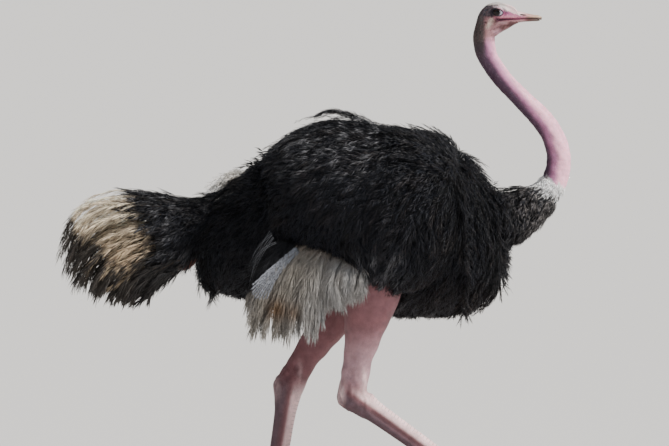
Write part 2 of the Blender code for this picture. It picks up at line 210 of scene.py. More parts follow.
# Forward of the knuckle and above the sole, upper then lower, and the half width.
MAIN_TOE_ROWS = np.array([
    (0.000, 0.100, -0.005, 0.066, 0.018),
    (0.032, 0.092, 0.014, 0.013, 0.032),
    (0.075, 0.063, 0.065, 0.001, 0.0290),
    (0.115, 0.054, 0.112, 0.001, 0.0300),
    (0.155, 0.045, 0.155, 0.001, 0.0270),
    (0.179, 0.035, 0.181, 0.004, 0.0200),
])
SIDE_TOE_ROWS = np.array([
    (0.000, 0.092, -0.005, 0.066, 0.012),
    (0.030, 0.073, 0.018, 0.015, 0.021),
    (0.060, 0.046, 0.055, 0.001, 0.0190),
    (0.090, 0.037, 0.090, 0.001, 0.0180),
    (0.111, 0.027, 0.112, 0.005, 0.0110),
])


def ramp(value, low, high):
    """0 up to low and 1 from high, and between them 3t^2 - 2t^3 of the share t."""
    t = np.clip((value - low) / (high - low), 0, 1)
    return t * t * (3 - 2 * t)


def until(value, low, high):
    """1 up to low and 0 from high: one less the ramp."""
    return 1 - ramp(value, low, high)


def window(value, low, full, still, high):
    """0 up to low and from high on, and 1 from full to still: a ramp up times one less a second ramp."""
    return ramp(value, low, full) * until(value, still, high)


def xyz(x, y, z):
    """Points from their x, y and z, each an array or one number."""
    return np.stack(np.broadcast_arrays(x, y, z), axis=-1)


def hump(value, middle, width):
    """A bell: e to minus the square of the distance from middle, counted in widths."""
    return np.exp(-(((value - middle) / width) ** 2))


def ripple(points, size, seed):
    """Smooth noise near -1 to 1: the sum of six sine waves about size long in seeded directions, over
    2.4."""
    chance = np.random.default_rng(seed)
    ways = chance.normal(size=(6, 3))
    ways /= np.linalg.norm(ways, axis=1)[:, None] * size
    starts = chance.random(6) * 2 * math.pi
    return np.sin(points @ ways.T * 2 * math.pi + starts).sum(-1) / 2.4


def along_rows(rows, places):
    """The rows at places between them, counted from 0: the cubic whose slope at a row is half the way
    between the rows before and after it."""
    padded = np.vstack([2 * rows[0] - rows[1], rows, 2 * rows[-1] - rows[-2]])
    i = np.minimum(places.astype(int), len(rows) - 2)
    s = (places - i)[:, None]
    a, b, c, d = (padded[i + k] for k in range(4))
    return b + 0.5 * s * (c - a + s * (2 * a - 5 * b + 4 * c - d + s * (3 * (b - c) + d - a)))


def around(sides):
    """Angles round a ring from its upper line, and how far each of them is from that line."""
    turn = np.linspace(0, 2 * math.pi, sides, endpoint=False)
    return turn, np.minimum(turn, 2 * math.pi - turn)


def sections(rows, places, inset):
    """The rows at places between them, with their middles and half heights, then both halves less the inset,
    but never under a quarter of themselves."""
    at = along_rows(rows, places)
    middle = (at[:, 0:2] + at[:, 2:4]) / 2
    half = np.linalg.norm(at[:, 0:2] - at[:, 2:4], axis=1) / 2
    less, width = (np.maximum(full - inset, 0.25 * full) for full in (half, at[:, 4]))
    return at, middle, half, less, width


def rings_between(rows, places, sides, y=0.0, inset=0.0, keel=0.0, squareness=2.0):
    """Rings from an upper to a lower line. At turn a, a point lies cos(a) of the half height towards the
    upper line and sin(a) of the half width aside, each raised to the power 2 over squareness, and a keel
    narrows the lower half. A sixth number in a row is the ring's own y."""
    at, middle, half, reach, width = sections(rows, places, inset)
    rise = (at[:, 0:2] - at[:, 2:4]) / (2 * half[:, None])
    reach, width = reach[:, None], width[:, None]
    turn, _ = around(sides)
    power = 2 / np.broadcast_to(squareness, len(places))[:, None]
    up = np.sign(np.cos(turn)) * np.abs(np.cos(turn)) ** power
    out = np.sign(np.sin(turn)) * np.abs(np.sin(turn)) ** power
    out = out * (1 - np.broadcast_to(keel, len(places))[:, None] * np.clip(-up, 0, 1) ** 1.5)
    beside = at[:, 5:6] if rows.shape[1] > 5 else y
    x = middle[:, :1] + reach * rise[:, :1] * up
    z = middle[:, 1:] + reach * rise[:, 1:] * up
    return xyz(x, beside + width * out, z)


def unit(ways):
    """The ways brought to length one."""
    return ways / np.maximum(np.linalg.norm(ways, axis=-1, keepdims=True), 1e-9)


def swell(rings, amount):
    """Each point moved away from its ring's middle by amount."""
    return rings + unit(rings - rings.mean(axis=1, keepdims=True)) * amount[..., None]


def fill_mesh(mesh, points, corners, sizes):
    """Puts points and faces into a mesh: corners lists every face's points in turn, sizes how many each
    has."""
    mesh.vertices.add(len(points))
    mesh.vertices.foreach_set("co", points.astype(np.float32).ravel())
    mesh.loops.add(len(corners))
    mesh.loops.foreach_set("vertex_index", corners.astype(np.int32))
    mesh.polygons.add(len(sizes))
    mesh.polygons.foreach_set("loop_start", np.concatenate([[0], np.cumsum(sizes)[:-1]]).astype(np.int32))
    mesh.update(calc_edges=True)
    mesh.shade_smooth()


def add_object(name, mesh):
    """A mesh or a lamp's data as an object of the scene, at the origin."""
    made = bpy.data.objects.new(name, mesh)
    bpy.context.scene.collection.objects.link(made)
    return made


def ring_quads(count, sides, loop=False):
    """Faces between neighbouring rings, and for a loop also between the last ring and the first."""
    i, k = np.meshgrid(np.arange(count if loop else count - 1), np.arange(sides), indexing="ij")
    m, n = (i + 1) % count, (k + 1) % sides
    return np.stack([i * sides + k, i * sides + n, m * sides + n, m * sides + k], axis=-1).reshape(-1, 4)


def shell(name, rings, loop=False):
    """A closed object over the rings, which run round in a loop or end on their middles. If its volume, the
    sum of each triangle's triple product, comes out below nothing, the faces are turned round."""
    count, sides = rings.shape[:2]
    points = rings.reshape(-1, 3)
    quads = ring_quads(count, sides, loop)
    tris = np.empty((0, 3), int)
    if not loop:
        points = np.vstack([points, rings[0].mean(axis=0), rings[-1].mean(axis=0)])
        k = np.arange(sides)
        n = (k + 1) % sides
        far = (count - 1) * sides
        tris = np.vstack([np.stack([n, k, np.full(sides, count * sides)], axis=1),
                          np.stack([k + far, n + far, np.full(sides, count * sides + 1)], axis=1)])
    both = np.vstack([quads[:, [0, 1, 2]], quads[:, [0, 2, 3]], tris])
    if np.linalg.det(points[both] - points.mean(axis=0)).sum() < 0:
        quads, tris = quads[:, ::-1], tris[:, ::-1]
    mesh = bpy.data.meshes.new(name)
    sizes = np.repeat([4, 3], [len(quads), len(tris)])
    fill_mesh(mesh, points, np.concatenate([quads.ravel(), tris.ravel()]), sizes)
    return add_object(name, mesh)


def welded(name, pieces):
    """One object from the union of closed pieces, which are removed."""
    whole = pieces[0]
    for other in pieces[1:]:
        join = whole.modifiers.new(other.name, "BOOLEAN")
        join.operation = "UNION"
        join.solver = "MANIFOLD"
        join.object = other
    bpy.context.view_layer.update()
    seen = whole.evaluated_get(bpy.context.evaluated_depsgraph_get())
    mesh = bpy.data.meshes.new_from_object(seen)
    mesh.name = name
    for piece in pieces:
        bpy.data.objects.remove(piece)
    return add_object(name, mesh)


def neck_rows(line):
    """Rows square to the neck's line: its middle plus and minus the radius along the line's normal, and nine
    tenths of the radius to each side."""
    slope = np.gradient(line[:, :2], axis=0)
    slope[0] = (0, -1)
    slope = unit(slope)
    back = np.stack([slope[:, 1], -slope[:, 0]], axis=1) * line[:, 2:]
    return np.hstack([line[:, :2] + back, line[:, :2] - back, 0.9 * line[:, 2:]])


def eye_reach(x, z):
    """Distance from the eye's middle counted so that the lids' edge is at 1, with the opening's own
    slant."""
    dx, dz = x - EYE[0], z - EYE[2]
    along = dx * math.cos(EYE_SLANT) + dz * math.sin(EYE_SLANT)
    over = dz * math.cos(EYE_SLANT) - dx * math.sin(EYE_SLANT)
    return np.hypot(along / EYE_OPENING[0], over / EYE_OPENING[1]), over


def ball_reach(x, z, least=0.005):
    """How far out the eyeball's surface is: its middle plus the root of radius squared less both squares."""
    left = EYE_RADIUS**2 - (x - EYE[0]) ** 2 - (z - EYE[2]) ** 2
    return EYE[1] + np.sqrt(np.maximum(left, least**2))


def mouth_height(x):
    """The mouth line is straight, and rises from its corner."""
    return MOUTH_CORNER[1] + MOUTH_RISE * (x - MOUTH_CORNER[0])


def face_relief(rings):
    """The face's forms, each a change of the distance from the midplane: lids that wrap the eyeball and a
    hollow inside them, the brow over it, the mouth line with its lips, the lores, the cheek and the ear."""
    x, y, z = rings[..., 0], np.abs(rings[..., 1]), rings[..., 2]
    head = ramp(x, 0.385, 0.4) * ramp(z, 1.765, 1.785) * ramp(y, 0.006, 0.018)
    reach, over = eye_reach(x, z)
    mouth = mouth_height(x)
    inside = window(x, 0.44, 0.45, 0.508, 0.518)
    brow = hump(reach, 1.95, 0.33) * ramp(over, 0.002, 0.014)
    lores = hump(x, 0.493, 0.01) * hump(z, 1.842, 0.008)
    cheek = hump(x, 0.436, 0.016) * hump(z, 1.806, 0.012)
    slit = inside * hump(z, mouth, 0.0015)
    lips = inside * (hump(z, mouth + 0.0042, 0.0024) + hump(z, mouth - 0.0044, 0.0026))
    mouth_end = hump(np.hypot(x - 0.441, z - 1.8205), 0.0055, 0.0028)
    off_ear = np.hypot((x - 0.409) / 0.8, z - 1.813)
    ear_rim, ear_pit = hump(off_ear, 0.0075, 0.003), hump(off_ear, 0.0, 0.004)
    out = y.copy()
    for form, height in (
        (brow, 0.0022), (lores, -0.0012), (cheek, 0.0016), (slit, -0.003), (lips, 0.0013),
        (mouth_end, 0.0015), (ear_rim, 0.0012), (ear_pit, -0.006),
    ):
        out += head * height * form
    wrap = head * until(reach, 1.3, 1.95)
    lid = ball_reach(x, z) + 0.0013 - 0.0011 * hump(reach, 1.42, 0.09) * ramp(over, 0.0, 0.006)
    out += wrap * (lid - out)
    over_ball = out - ball_reach(x, z, 0.0001) - 0.0008
    out += head * ramp(reach, 0.9, 1.1) * 0.5 * (np.hypot(over_ball, 0.0016) - over_ball)
    hollow = head * until(reach, 0.93, 1.02)
    out += hollow * (EYE[1] + 0.002 - out)
    return xyz(x, np.sign(rings[..., 1]) * out, z)


def lid_line(turn):
    """x and z on the edge of the slanted oval between the lids, at a turn from its front corner."""
    along, over = EYE_OPENING[0] * np.cos(turn), EYE_OPENING[1] * np.sin(turn)
    x = EYE[0] + along * math.cos(EYE_SLANT) - over * math.sin(EYE_SLANT)
    return x, EYE[2] + along * math.sin(EYE_SLANT) + over * math.cos(EYE_SLANT)


def lid_edge(way):
    """The thick edge of the lids: a ring 2.4 mm thick, thicker in the upper lid, carried round the opening
    where it lies on the eyeball."""
    turn, _ = around(64)
    x, z = lid_line(turn)
    line = xyz(x, ball_reach(x, z), z)
    ahead = np.roll(line, -1, axis=0) - np.roll(line, 1, axis=0)
    out = unit(line - EYE)
    aside = np.cross(unit(ahead), out)
    thick = 0.0012 + 0.0005 * np.clip(np.sin(turn), 0, 1)
    round_edge = around(8)[0][None, :, None]
    ring = np.cos(round_edge) * out[:, None] + np.sin(round_edge) * aside[:, None]
    points = (line + out * 0.0006)[:, None] + ring * thick[:, None, None]
    points[..., 1] *= way
    return points


def head_and_neck():
    """One tube of rings: the head's rows, then those worked out from the neck's line. The windpipe, the nape
    and the folds move each point of the neck a little out from its ring's middle."""
    rows = np.vstack([HEAD_ROWS, neck_rows(NECK_LINE)])
    last = len(rows) - 1
    places = np.concatenate([np.linspace(0, 7.6, 156, endpoint=False), np.linspace(7.6, last, 140)])
    squareness = np.interp(places, [0, 1, 3, 6, 9, last], [2.1, 2.4, 2.35, 2.1, 2.0, 2.0])
    keel = np.interp(places, [0, 3, 5, 7, 9], [0.1, 0.3, 0.32, 0.16, 0.0])
    rings = rings_between(rows, places, HEAD_RING, keel=keel, squareness=squareness)
    turn, off_back = around(HEAD_RING)
    neck = window(places, 8.0, 9.5, 16.5, 18)[:, None]
    # The windpipe stands out along the front, between two shallow grooves.
    off_front = np.abs(turn - math.pi)
    pipe = 0.0016 * hump(off_front, 0, 0.4) - 0.0012 * hump(off_front, 0.72, 0.22)
    nape = 0.0008 * hump(off_back, 0, 0.3)
    folds = 0.0007 * ripple(rings * (1.0, 0.35, 2.0), 0.03, 3)
    rings = swell(rings, neck * (pipe + nape - 0.0008 + folds))
    return shell("head_and_neck", face_relief(rings))


def leg_rows(way):
    """Rows square to the shin bone and then to the shank, with one across the hock that halves its bend."""
    knee, hock, knuckle = (np.array(part[way])[[0, 2, 1]] for part in (KNEE, HOCK, KNUCKLE))
    calf = CALF_ROWS.copy()
    calf[:, 1:] *= (CALF_FULLNESS[way] + (1 - CALF_FULLNESS[way]) * np.clip(calf[:, :1], 0, 1))
    middle = np.vstack([
        knee + calf[:, :1] * (hock - knee), hock, hock + SHANK_ROWS[:, :1] * (knuckle - hock)])
    reach = np.vstack([calf[:, 1:], HOCK_ROW, SHANK_ROWS[:, 1:]])
    down = unit(np.array([(hock - knee)[:2], (knuckle - hock)[:2]]))
    front = np.stack([-down[:, 1], down[:, 0]], axis=1)
    fronts = np.vstack([np.tile(front[0], (len(calf), 1)), unit(front.sum(axis=0)),
                        np.tile(front[1], (len(SHANK_ROWS), 1))])
    fore = middle[:, :2] + fronts * reach[:, :1]
    rear = middle[:, :2] - fronts * reach[:, 1:2]
    return np.hstack([fore, rear, reach[:, 2:], middle[:, 2:]])


def hock_folds(points, way):
    """Long folds of loose skin round the hock: ripple of the places drawn out along the leg."""
    away = points - np.array(HOCK[way])
    return ripple(away * (1.0, 1.2, 0.16), 0.013, 8)


def leg(way):
    """The leg's rings with its forms: the groove between shin and heel tendon, the knob of the hock, the
    groove along the shank between bone and tendons, and the row of wide scutes down the shank's front."""
    rows = leg_rows(way)
    last = len(rows) - 1
    places = np.concatenate([np.linspace(0, 4, 30, endpoint=False), np.linspace(4, 9, 80, endpoint=False),
                             np.linspace(9, last, 130)])
    rings = rings_between(rows, places, LEG_RING, squareness=2.15)
    _, off_front = around(LEG_RING)
    shank = window(places, 8.2, 9.0, 11.6, 12.4)[:, None]
    calf = window(places, 3.6, 5.0, 6.4, 7.0)[:, None]
    amount = -0.0042 * shank * hump(off_front, 1.75, 0.26) - 0.005 * calf * hump(off_front, 1.95, 0.3)
    amount += 0.0016 * shank * hump(off_front, 2.6, 0.45)
    drop = np.linalg.norm(rings.mean(axis=1) - np.array(HOCK[way]), axis=1)[:, None]
    scute = (drop / SHANK_SCUTE) % 1.0
    front = ramp(1.05 - off_front, 0.0, 0.25) * ramp(places, 8.0, 8.6)[:, None]
    amount += front * (0.0013 * (1 - scute) ** 0.6 - 0.0004)
    hock = hump(places, 7.0, 1.3)[:, None]
    amount += 0.0015 * hock * hock_folds(rings, way) * ramp(off_front, 0.25, 0.8)
    amount += 0.0011 * hock * ripple(rings, 0.022, 5) * ramp(off_front, 0.3, 1.2)
    amount += 0.0012 * (1 - shank) * ripple(rings, 0.06, 6)
    return shell("leg", swell(rings, amount))


def bent_foot(points, way, toe):
    """Points of a level toe, splayed, then pitched and curled: at a distance along the foot it heads by the
    pitch and half its share of the curl, and stands square to the pitch and its whole share."""
    turn, aside = way * toe[0], way * toe[1]
    forward = points[..., 0] * math.cos(turn) - points[..., 1] * math.sin(turn)
    outward = points[..., 0] * math.sin(turn) + points[..., 1] * math.cos(turn) + aside
    height = points[..., 2] - KNUCKLE_HEIGHT
    curl = TOE_CURL[way] * np.clip(forward / TOE_REACH, 0, 1)
    pitch = TOE_PITCH[way]
    x = forward * np.cos(pitch + curl / 2) - height * np.sin(pitch + curl)
    z = forward * np.sin(pitch + curl / 2) + height * np.cos(pitch + curl)
    return np.array(KNUCKLE[way]) + xyz(x, outward, z)


def toe_shell(rows, way, toe, pads):
    """A toe with a row of small scutes over the top and round pads under its joints."""
    places = np.linspace(0, len(rows) - 1, 90)
    rings = rings_between(rows, places, TOE_RING, squareness=2.5)
    _, off_top = around(TOE_RING)
    forward = rings[..., 0].mean(axis=1)[:, None]
    away = ramp(places, 0.8, 1.4)[:, None] * until(places, len(rows) - 1.4, len(rows) - 1.0)[:, None]
    scute = (forward / TOE_SCUTE) % 1.0
    amount = away * until(off_top, 0.8, 1.15) * 0.0009 * (1 - scute) ** 0.6
    pad = 0.5 + 0.5 * np.cos(2 * math.pi * forward / pads)
    amount -= away * 0.0022 * pad * ramp(off_top, 1.2, 1.9)
    rings = bent_foot(swell(rings, amount), way, toe)
    if way == LEFT:
        rings[..., 2] = np.maximum(rings[..., 2], SOLE)
    return shell("toe", rings)


def flesh():
    """Every part of the skin welded into one."""
    trunk = rings_between(TRUNK_ROWS, np.linspace(0, 10, 70), sides=72, inset=COAT_DEPTH, keel=KEEL)
    rump = rings_between(TAIL_ROWS, np.linspace(0.2, 3.2, 24), sides=40, inset=TAIL_COAT_DEPTH)
    vent = rings_between(VENT_ROWS, np.linspace(0, 4, 20), sides=28)
    pieces = [head_and_neck(), shell("trunk", trunk), shell("rump", rump), shell("vent", vent)]
    for way in (LEFT, RIGHT):
        wing = rings_between(
            WING_ROWS, np.linspace(0, 8, 40), sides=48, y=way * WING_OUT, inset=COAT_DEPTH)
        pieces.append(shell("wing", wing))
        pieces.append(leg(way))
        pieces.append(toe_shell(MAIN_TOE_ROWS, way, MAIN_TOE, pads=0.04))
        pieces.append(toe_shell(SIDE_TOE_ROWS, way, SIDE_TOE, pads=0.03))
        pieces.append(shell("lids", lid_edge(way), loop=True))
    return welded("skin", pieces)


def positions(mesh):
    """A mesh's points, one row each."""
    flat = np.empty(len(mesh.vertices) * 3, np.float32)
    mesh.vertices.foreach_get("co", flat)
    return flat.reshape(-1, 3).astype(float)


def eased(skin, middle, radius, turns):
    """Rounds the weld between toes and knuckle by moving each point there halfway to its neighbours'
    mean."""
    work = bmesh.new()
    work.from_mesh(skin.data)
    near = np.linalg.norm(positions(skin.data) - np.array(middle), axis=1) < radius
    work.verts.ensure_lookup_table()
    chosen = [work.verts[i] for i in np.flatnonzero(near)]
    for _ in range(turns):
        bmesh.ops.smooth_vert(
            work, verts=chosen, factor=0.5, use_axis_x=True, use_axis_y=True, use_axis_z=True)
    work.to_mesh(skin.data)
    work.free()


def mixed(under, over, share):
    """Colours from under to over by share: under plus share times their difference."""
    under = np.asarray(under)
    return under + (np.array(over) - under) * share[..., None]


def leg_distance(points, way):
    """How far points are from the line through knee, hock and knuckle."""
    joints = [np.array(part[way]) for part in (KNEE, HOCK, KNUCKLE)]
    best = np.full(points.shape[:-1], 9.0)
    for start, end in zip(joints, joints[1:]):
        run = end - start
        share = np.clip((points - start) @ run / (run @ run), 0, 1)
        best = np.minimum(best, np.linalg.norm(points - start - share[..., None] * run, axis=-1))
    return best


def hull_part(rows, y, inset, keel):
    """A body part as tables over x: its middle height, half height, half width and slant, row by row."""
    at, middle, _, reach, width = sections(rows, np.linspace(0, len(rows) - 1, 120), inset)
    slant = (at[:, 0] - at[:, 2]) / (at[:, 1] - at[:, 3])
    table = np.stack([*middle.T, reach, width, slant])
    return table[:, np.argsort(table[0])], y, keel


def share_out(points, part):
    """How far out of an elliptic section points are, with 1 on its edge: the root of the squared shares of
    the half height and the half width, at the place along x that allows for the section's slant."""
    (along, middle, reach, width, slant), y, keel = part
    x, z = points[..., 0], points[..., 2]
    for _ in range(2):
        x = points[..., 0] - np.interp(x, along, slant) * (z - np.interp(x, along, middle))
    rise = (z - np.interp(x, along, middle)) / np.interp(x, along, reach)
    half = np.interp(x, along, width) * (1 - keel * np.clip(-rise, 0, 1) ** 1.5)
    beyond = np.maximum(np.maximum(along[0] - x, x - along[-1]), 0)
    return np.hypot(rise, (points[..., 1] - y) / half) + beyond / 0.02


def off_body(points):
    """Distance out of the nearest body part and the way straight out of it: what the share is over 1,
    divided by its slope. The neck's root is a tube, so there it is the distance from its line less the
    radius."""
    best = np.full(points.shape[:-1], 9.0)
    way_out = np.zeros(points.shape)
    for part in BODY_PARTS:
        share = share_out(points, part)
        slope = np.stack([share_out(points + step, part) - share for step in 0.001 * np.eye(3)], axis=-1)
        slope = slope / 0.001
        steep = np.linalg.norm(slope, axis=-1)
        nearer = (share - 1) / steep < best
        best = np.where(nearer, (share - 1) / steep, best)
        way_out = np.where(nearer[..., None], slope / steep[..., None], way_out)
    line = np.insert(NECK_ROOT_LINE[:, :2], 1, 0.0, axis=1)
    apart = points[..., None, :] - line
    gap = np.linalg.norm(apart, axis=-1)
    closest = np.argmin(gap - NECK_ROOT_LINE[:, 2], axis=-1)[..., None]
    gap = np.take_along_axis(gap, closest, -1)[..., 0]
    away = np.take_along_axis(apart, closest[..., None], -2)[..., 0, :] / gap[..., None]
    gap = gap - NECK_ROOT_LINE[closest[..., 0], 2]
    way_out = np.where((gap < best)[..., None], away, way_out)
    return np.minimum(gap, best), way_out


def markings(points):
    """The bird's colours by place, the same for skin and coat: black body, white collar, pink neck with
    painted shade down its back and a painted highlight on its front, pink legs, and the face with its pale
    crown, dark cheek and nape, and magenta lores and gape."""
    x, z = points[..., 0], points[..., 2]
    below = (points - COLLAR_TOP) @ COLLAR_WAY
    upper = np.maximum(ramp(x, 0.44, 0.5), ramp(z, 1.5, 1.54)) * ramp(z, 1.12, 1.17)
    streak = 0.01 * ripple(points * (1, 1, 0.4), 0.014, 11)
    white = upper * until(below + streak, 0.03, 0.052)
    colour = mixed(BLACK_SKIN, COLLAR_WHITE, white)
    bare = upper * until(below + 0.6 * streak, -0.008, 0.002)
    # Painted shade darkens the back of the neck, and a painted highlight brightens its front.
    rear = np.interp(z, NECK_SHADE[:, 0], NECK_SHADE[:, 1])
    behind = 0.5 - 0.5 * np.tanh((x - rear) / 0.009)
    pink = mixed(NECK_PINK, NECK_PAINTED_SHADE, behind * 0.94)
    pink = mixed(pink, NECK_PAINTED_HIGHLIGHT, ramp(x, rear + 0.01, rear + 0.033) * 0.9)
    colour = mixed(colour, pink, bare)
    off_vent = np.linalg.norm(points - VENT, axis=-1)
    colour = mixed(colour, VENT_BROWN, until(off_vent, 0.044, 0.052))
    return on_legs(on_head(colour, points, bare), points)


def on_head(colour, points, bare):
    """The head's colours over those of the neck, from the nape forward: grey brown nape and slate cap down to
    the eye, pale crown and brow, cream cheek stripe, brown ear, a throat and chin darkened with painted
    shade, painted shade along the fold under the jaw and in the mouth's slit, magenta lores with a band of
    painted highlight, and a maroon gape."""
    x, z = points[..., 0], points[..., 2]
    mottle = ripple(points, 0.011, 14)
    x, z = x + 0.0012 * mottle, z + 0.0012 * ripple(points, 0.009, 15)
    head = ramp(z, 1.735, 1.775) * ramp(x, 0.34, 0.36)
    throat = ramp(x, 0.447, 0.464) * until(z, 1.803, 1.811)
    jaw = hump(x, 0.466, 0.017) * hump(z, 1.8125, 0.0045)
    chin = ramp(x, 0.478, 0.492) * until(z, 1.812, 1.818)
    ear_spot = hump(np.hypot((x - 0.4405) / 1.2, z - 1.8165), 0, 0.0072)
    stripe = hump(x - 0.5 * (z - 1.81), 0.4215, 0.008) * window(z, 1.788, 1.8, 1.828, 1.832)
    jowl = hump(np.hypot((x - 0.447) / 1.5, z - 1.7815), 0, 0.0085)
    # The line of a skin fold under the jaw, where painted shade falls.
    fold = hump(z - 0.35 * (x - 0.447), 1.7955, 0.0022) * window(x, 0.412, 0.422, 0.458, 0.466)
    for over, share in (
        ((0.34, 0.17, 0.175), 1.0),
        # Painted shade under the head darkens the throat.
        ((0.085, 0.034, 0.032), throat * (0.75 + 0.25 * mottle)),
        ((0.4, 0.235, 0.245), jaw * 0.9),
        # Painted shade on the chin under the bill.
        ((0.075, 0.026, 0.026), chin * 0.9),
        ((0.08, 0.034, 0.03), ear_spot * 0.85),
        ((0.66, 0.5, 0.42), stripe * 0.9),
        ((0.52, 0.31, 0.37), jowl * (0.7 + 0.3 * mottle)),
        # Painted shade along the crease of the fold.
        ((0.105, 0.044, 0.055), fold * 0.75),
    ):
        colour = mixed(colour, over, head * share)
    dark = until(x, 0.396, 0.416)
    dark = np.maximum(dark, until(x, 0.446, 0.456) * ramp(z, 1.829, 1.836)) * ramp(z, 1.635, 1.78)
    shade = mixed(NAPE_BROWN, CAP_SLATE, ramp(z, 1.8, 1.84))
    flecks = hump(np.hypot((x - 0.393) / 0.6, (z - 1.823) / 1.7), 0, 0.01)
    shade = mixed(shade, FLECK_GREY, flecks * (0.6 + 0.4 * mottle))
    colour = mixed(colour, shade, dark * bare * (0.92 + 0.08 * mottle))
    # A band of painted highlight runs along the lores.
    lores = mixed(LORES_DEEP, LORES_PAINTED_HIGHLIGHT, hump(z, 1.8325, 0.005))
    colour = mixed(colour, lores, head * ramp(x, 0.453, 0.466) * ramp(z, 1.8235, 1.827))
    colour = mixed(colour, LIP_RED, head * ramp(x, 0.43, 0.438) * hump(z, 1.829, 0.0042) * 0.9)
    for start, slope, wide in ((0.4755, -0.75, 0.0024), (0.4955, -0.5, 0.0017)):
        line = hump(x - slope * (z - 1.8545), start, wide) * window(z, 1.838, 1.845, 1.864, 1.868)
        colour = mixed(colour, LORES_LINE, head * line * 0.9)
    edge_z = 1.8725 - 0.018 * ramp(x, 0.448, 0.472) - 0.36 * np.clip(x - 0.474, 0, 0.05)
    crown = head * ramp(z, edge_z - 0.003, edge_z + 0.0026)
    pale = mixed(CROWN_CREAM, CROWN_PINK, ramp(x, 0.462, 0.5))
    colour = mixed(colour, pale, crown * ramp(x, 0.38, 0.396))
    reach, over = eye_reach(points[..., 0], points[..., 2])
    brow = head * hump(reach, 1.62, 0.24) * ramp(over, 0.003, 0.009) * ramp(x, 0.43, 0.442)
    colour = mixed(colour, BROW_PINK, brow * 0.9)
    mouth = mouth_height(x)
    deep = 0.0068 - 0.03 * np.clip(x - MOUTH_CORNER[0], 0, 0.08)
    off_gape = np.abs(points[..., 2] - mouth - 0.0008) / deep
    gape = head * ramp(x, 0.437, 0.446) * until(off_gape + 0.1 * mottle, 0.6, 1.05)
    wine = mixed(GAPE_DEEP, GAPE_WINE, ramp(x, 0.462, 0.512))
    colour = mixed(colour, wine, gape * 0.97)
    # Painted shade in the slit of the mouth.
    slit = head * ramp(x, 0.44, 0.45) * hump(points[..., 2], mouth, 0.0012)
    colour = mixed(colour, MOUTH_SLIT_SHADE, slit)
    return mixed(colour, LID_SLATE, head * until(reach, 1.05, 1.3))


def on_legs(colour, points):
    """The bare legs' colours where they stand clear of the plumage."""
    x, z = points[..., 0], points[..., 2]
    bare_leg = ramp(off_body(points)[0], 0.002, 0.007) * until(z, 1.0, 1.02) * until(x, 0.42, 0.43)
    for way in (LEFT, RIGHT):
        reach = 0.13 + 0.1 * until(z, 0.36, 0.42)
        near = bare_leg * until(leg_distance(points, way), reach - 0.005, reach + 0.005)
        colour = mixed(colour, leg_colour(points, way), near)
    return colour


def leg_colour(points, way):
    """Dusky pink, with a painted highlight down the shank's front and painted shade behind it, pale bands of
    painted highlight on the hock's folds, a paler right calf, and greyer at the foot.
    """
    z = points[..., 2]
    hock, knuckle = np.array(HOCK[way]), np.array(KNUCKLE[way])
    run = (knuckle - hock)[[0, 2]]
    square = np.array([-run[1], run[0]]) / np.linalg.norm(run)
    ahead = (points[..., [0, 2]] - hock[[0, 2]]) @ square
    # Painted shade behind the shank.
    behind = ramp(0.62 - z, 0.0, 0.08) * ramp(-ahead, -0.005, 0.02)
    colour = mixed(LEG_DUSK, SHANK_REAR_SHADE, behind)
    # A painted highlight down the shank's front.
    colour = mixed(colour, SHANK_FRONT_HIGHLIGHT, 0.9 * ramp(0.6 - z, 0.0, 0.08) * ramp(ahead, 0.0, 0.016))
    pale_calf = CALF_PALENESS[way] * ramp(0.81 - z, 0.0, 0.14) * ramp(z, 0.56, 0.62)
    colour = mixed(colour, CALF_PALE, pale_calf)
    # Pale bands of painted highlight on the hock's folds, along its rear edge and above its front.
    forth = points[..., 0] - hock[0]
    bands = ramp(-forth, 0.024, 0.048) * hump(z, hock[2] + 0.012, 0.042)
    bands = bands + hump(forth, 0.034, 0.009) * hump(z, hock[2] + 0.055, 0.035)
    hock_highlight = bands * (0.35 + 0.65 * ramp(hock_folds(points, way), -0.9, 0.7)) * HOCK_HIGHLIGHT_SHARE[way]
    colour = mixed(colour, HOCK_HIGHLIGHT_PINK, np.clip(hock_highlight, 0, 1))
    low = until(np.linalg.norm(points - knuckle, axis=-1), 0.05, 0.16)
    return mixed(colour, FOOT_GREY, np.maximum(low, until(z, 0.1, 0.2)) * 0.7)


def scutes(points, normals):
    """Rows of wide plates down the front of the shanks and over the toes: how many plates down from the
    row's start each place is, and how far it belongs to the row, from how the skin faces there."""
    rows = np.zeros(len(points))
    share = np.zeros(len(points))
    for way in (LEFT, RIGHT):
        hock, knuckle = np.array(HOCK[way]), np.array(KNUCKLE[way])
        length = np.linalg.norm(knuckle - hock)
        down = (knuckle - hock) / length
        front = unit(np.array([-down[2], 0.0, down[0]]))
        run = (points - hock) @ down
        near = np.linalg.norm(points - hock - run[:, None] * down, axis=1) < 0.06
        on = near * ramp(run, 0.01, 0.05) * until(run, length - 0.05, length - 0.02)
        on = on * ramp(normals @ front, 0.45, 0.75)
        rows, share = np.where(on > share, run / SHANK_SEAM, rows), np.maximum(share, on)
        away = points - knuckle
        along, height = away[:, 0], away[:, 2]
        for _ in range(3):
            curl = TOE_CURL[way] * np.clip(along / TOE_REACH, 0, 1)
            steep = TOE_PITCH[way] + curl
            half = steep - curl / 2
            along = (away[:, 0] + height * np.sin(steep)) / np.cos(half)
            height = (away[:, 2] - along * np.sin(half)) / np.cos(steep)
        up = xyz(-np.sin(steep), 0.0, np.cos(steep))
        on = (np.linalg.norm(away, axis=1) < 0.26) * ramp(along, 0.018, 0.035) * (points[:, 2] < 0.3)
        on = on * ramp((normals * up).sum(axis=1), 0.4, 0.72)
        rows, share = np.where(on > share, along / TOE_SEAM, rows), np.maximum(share, on)
    return rows, share


def add_numbers(mesh, name, values):
    """A number for each point of a mesh."""
    made = mesh.attributes.new(name, "FLOAT", "POINT")
    made.data.foreach_set("value", values.astype(np.float32))


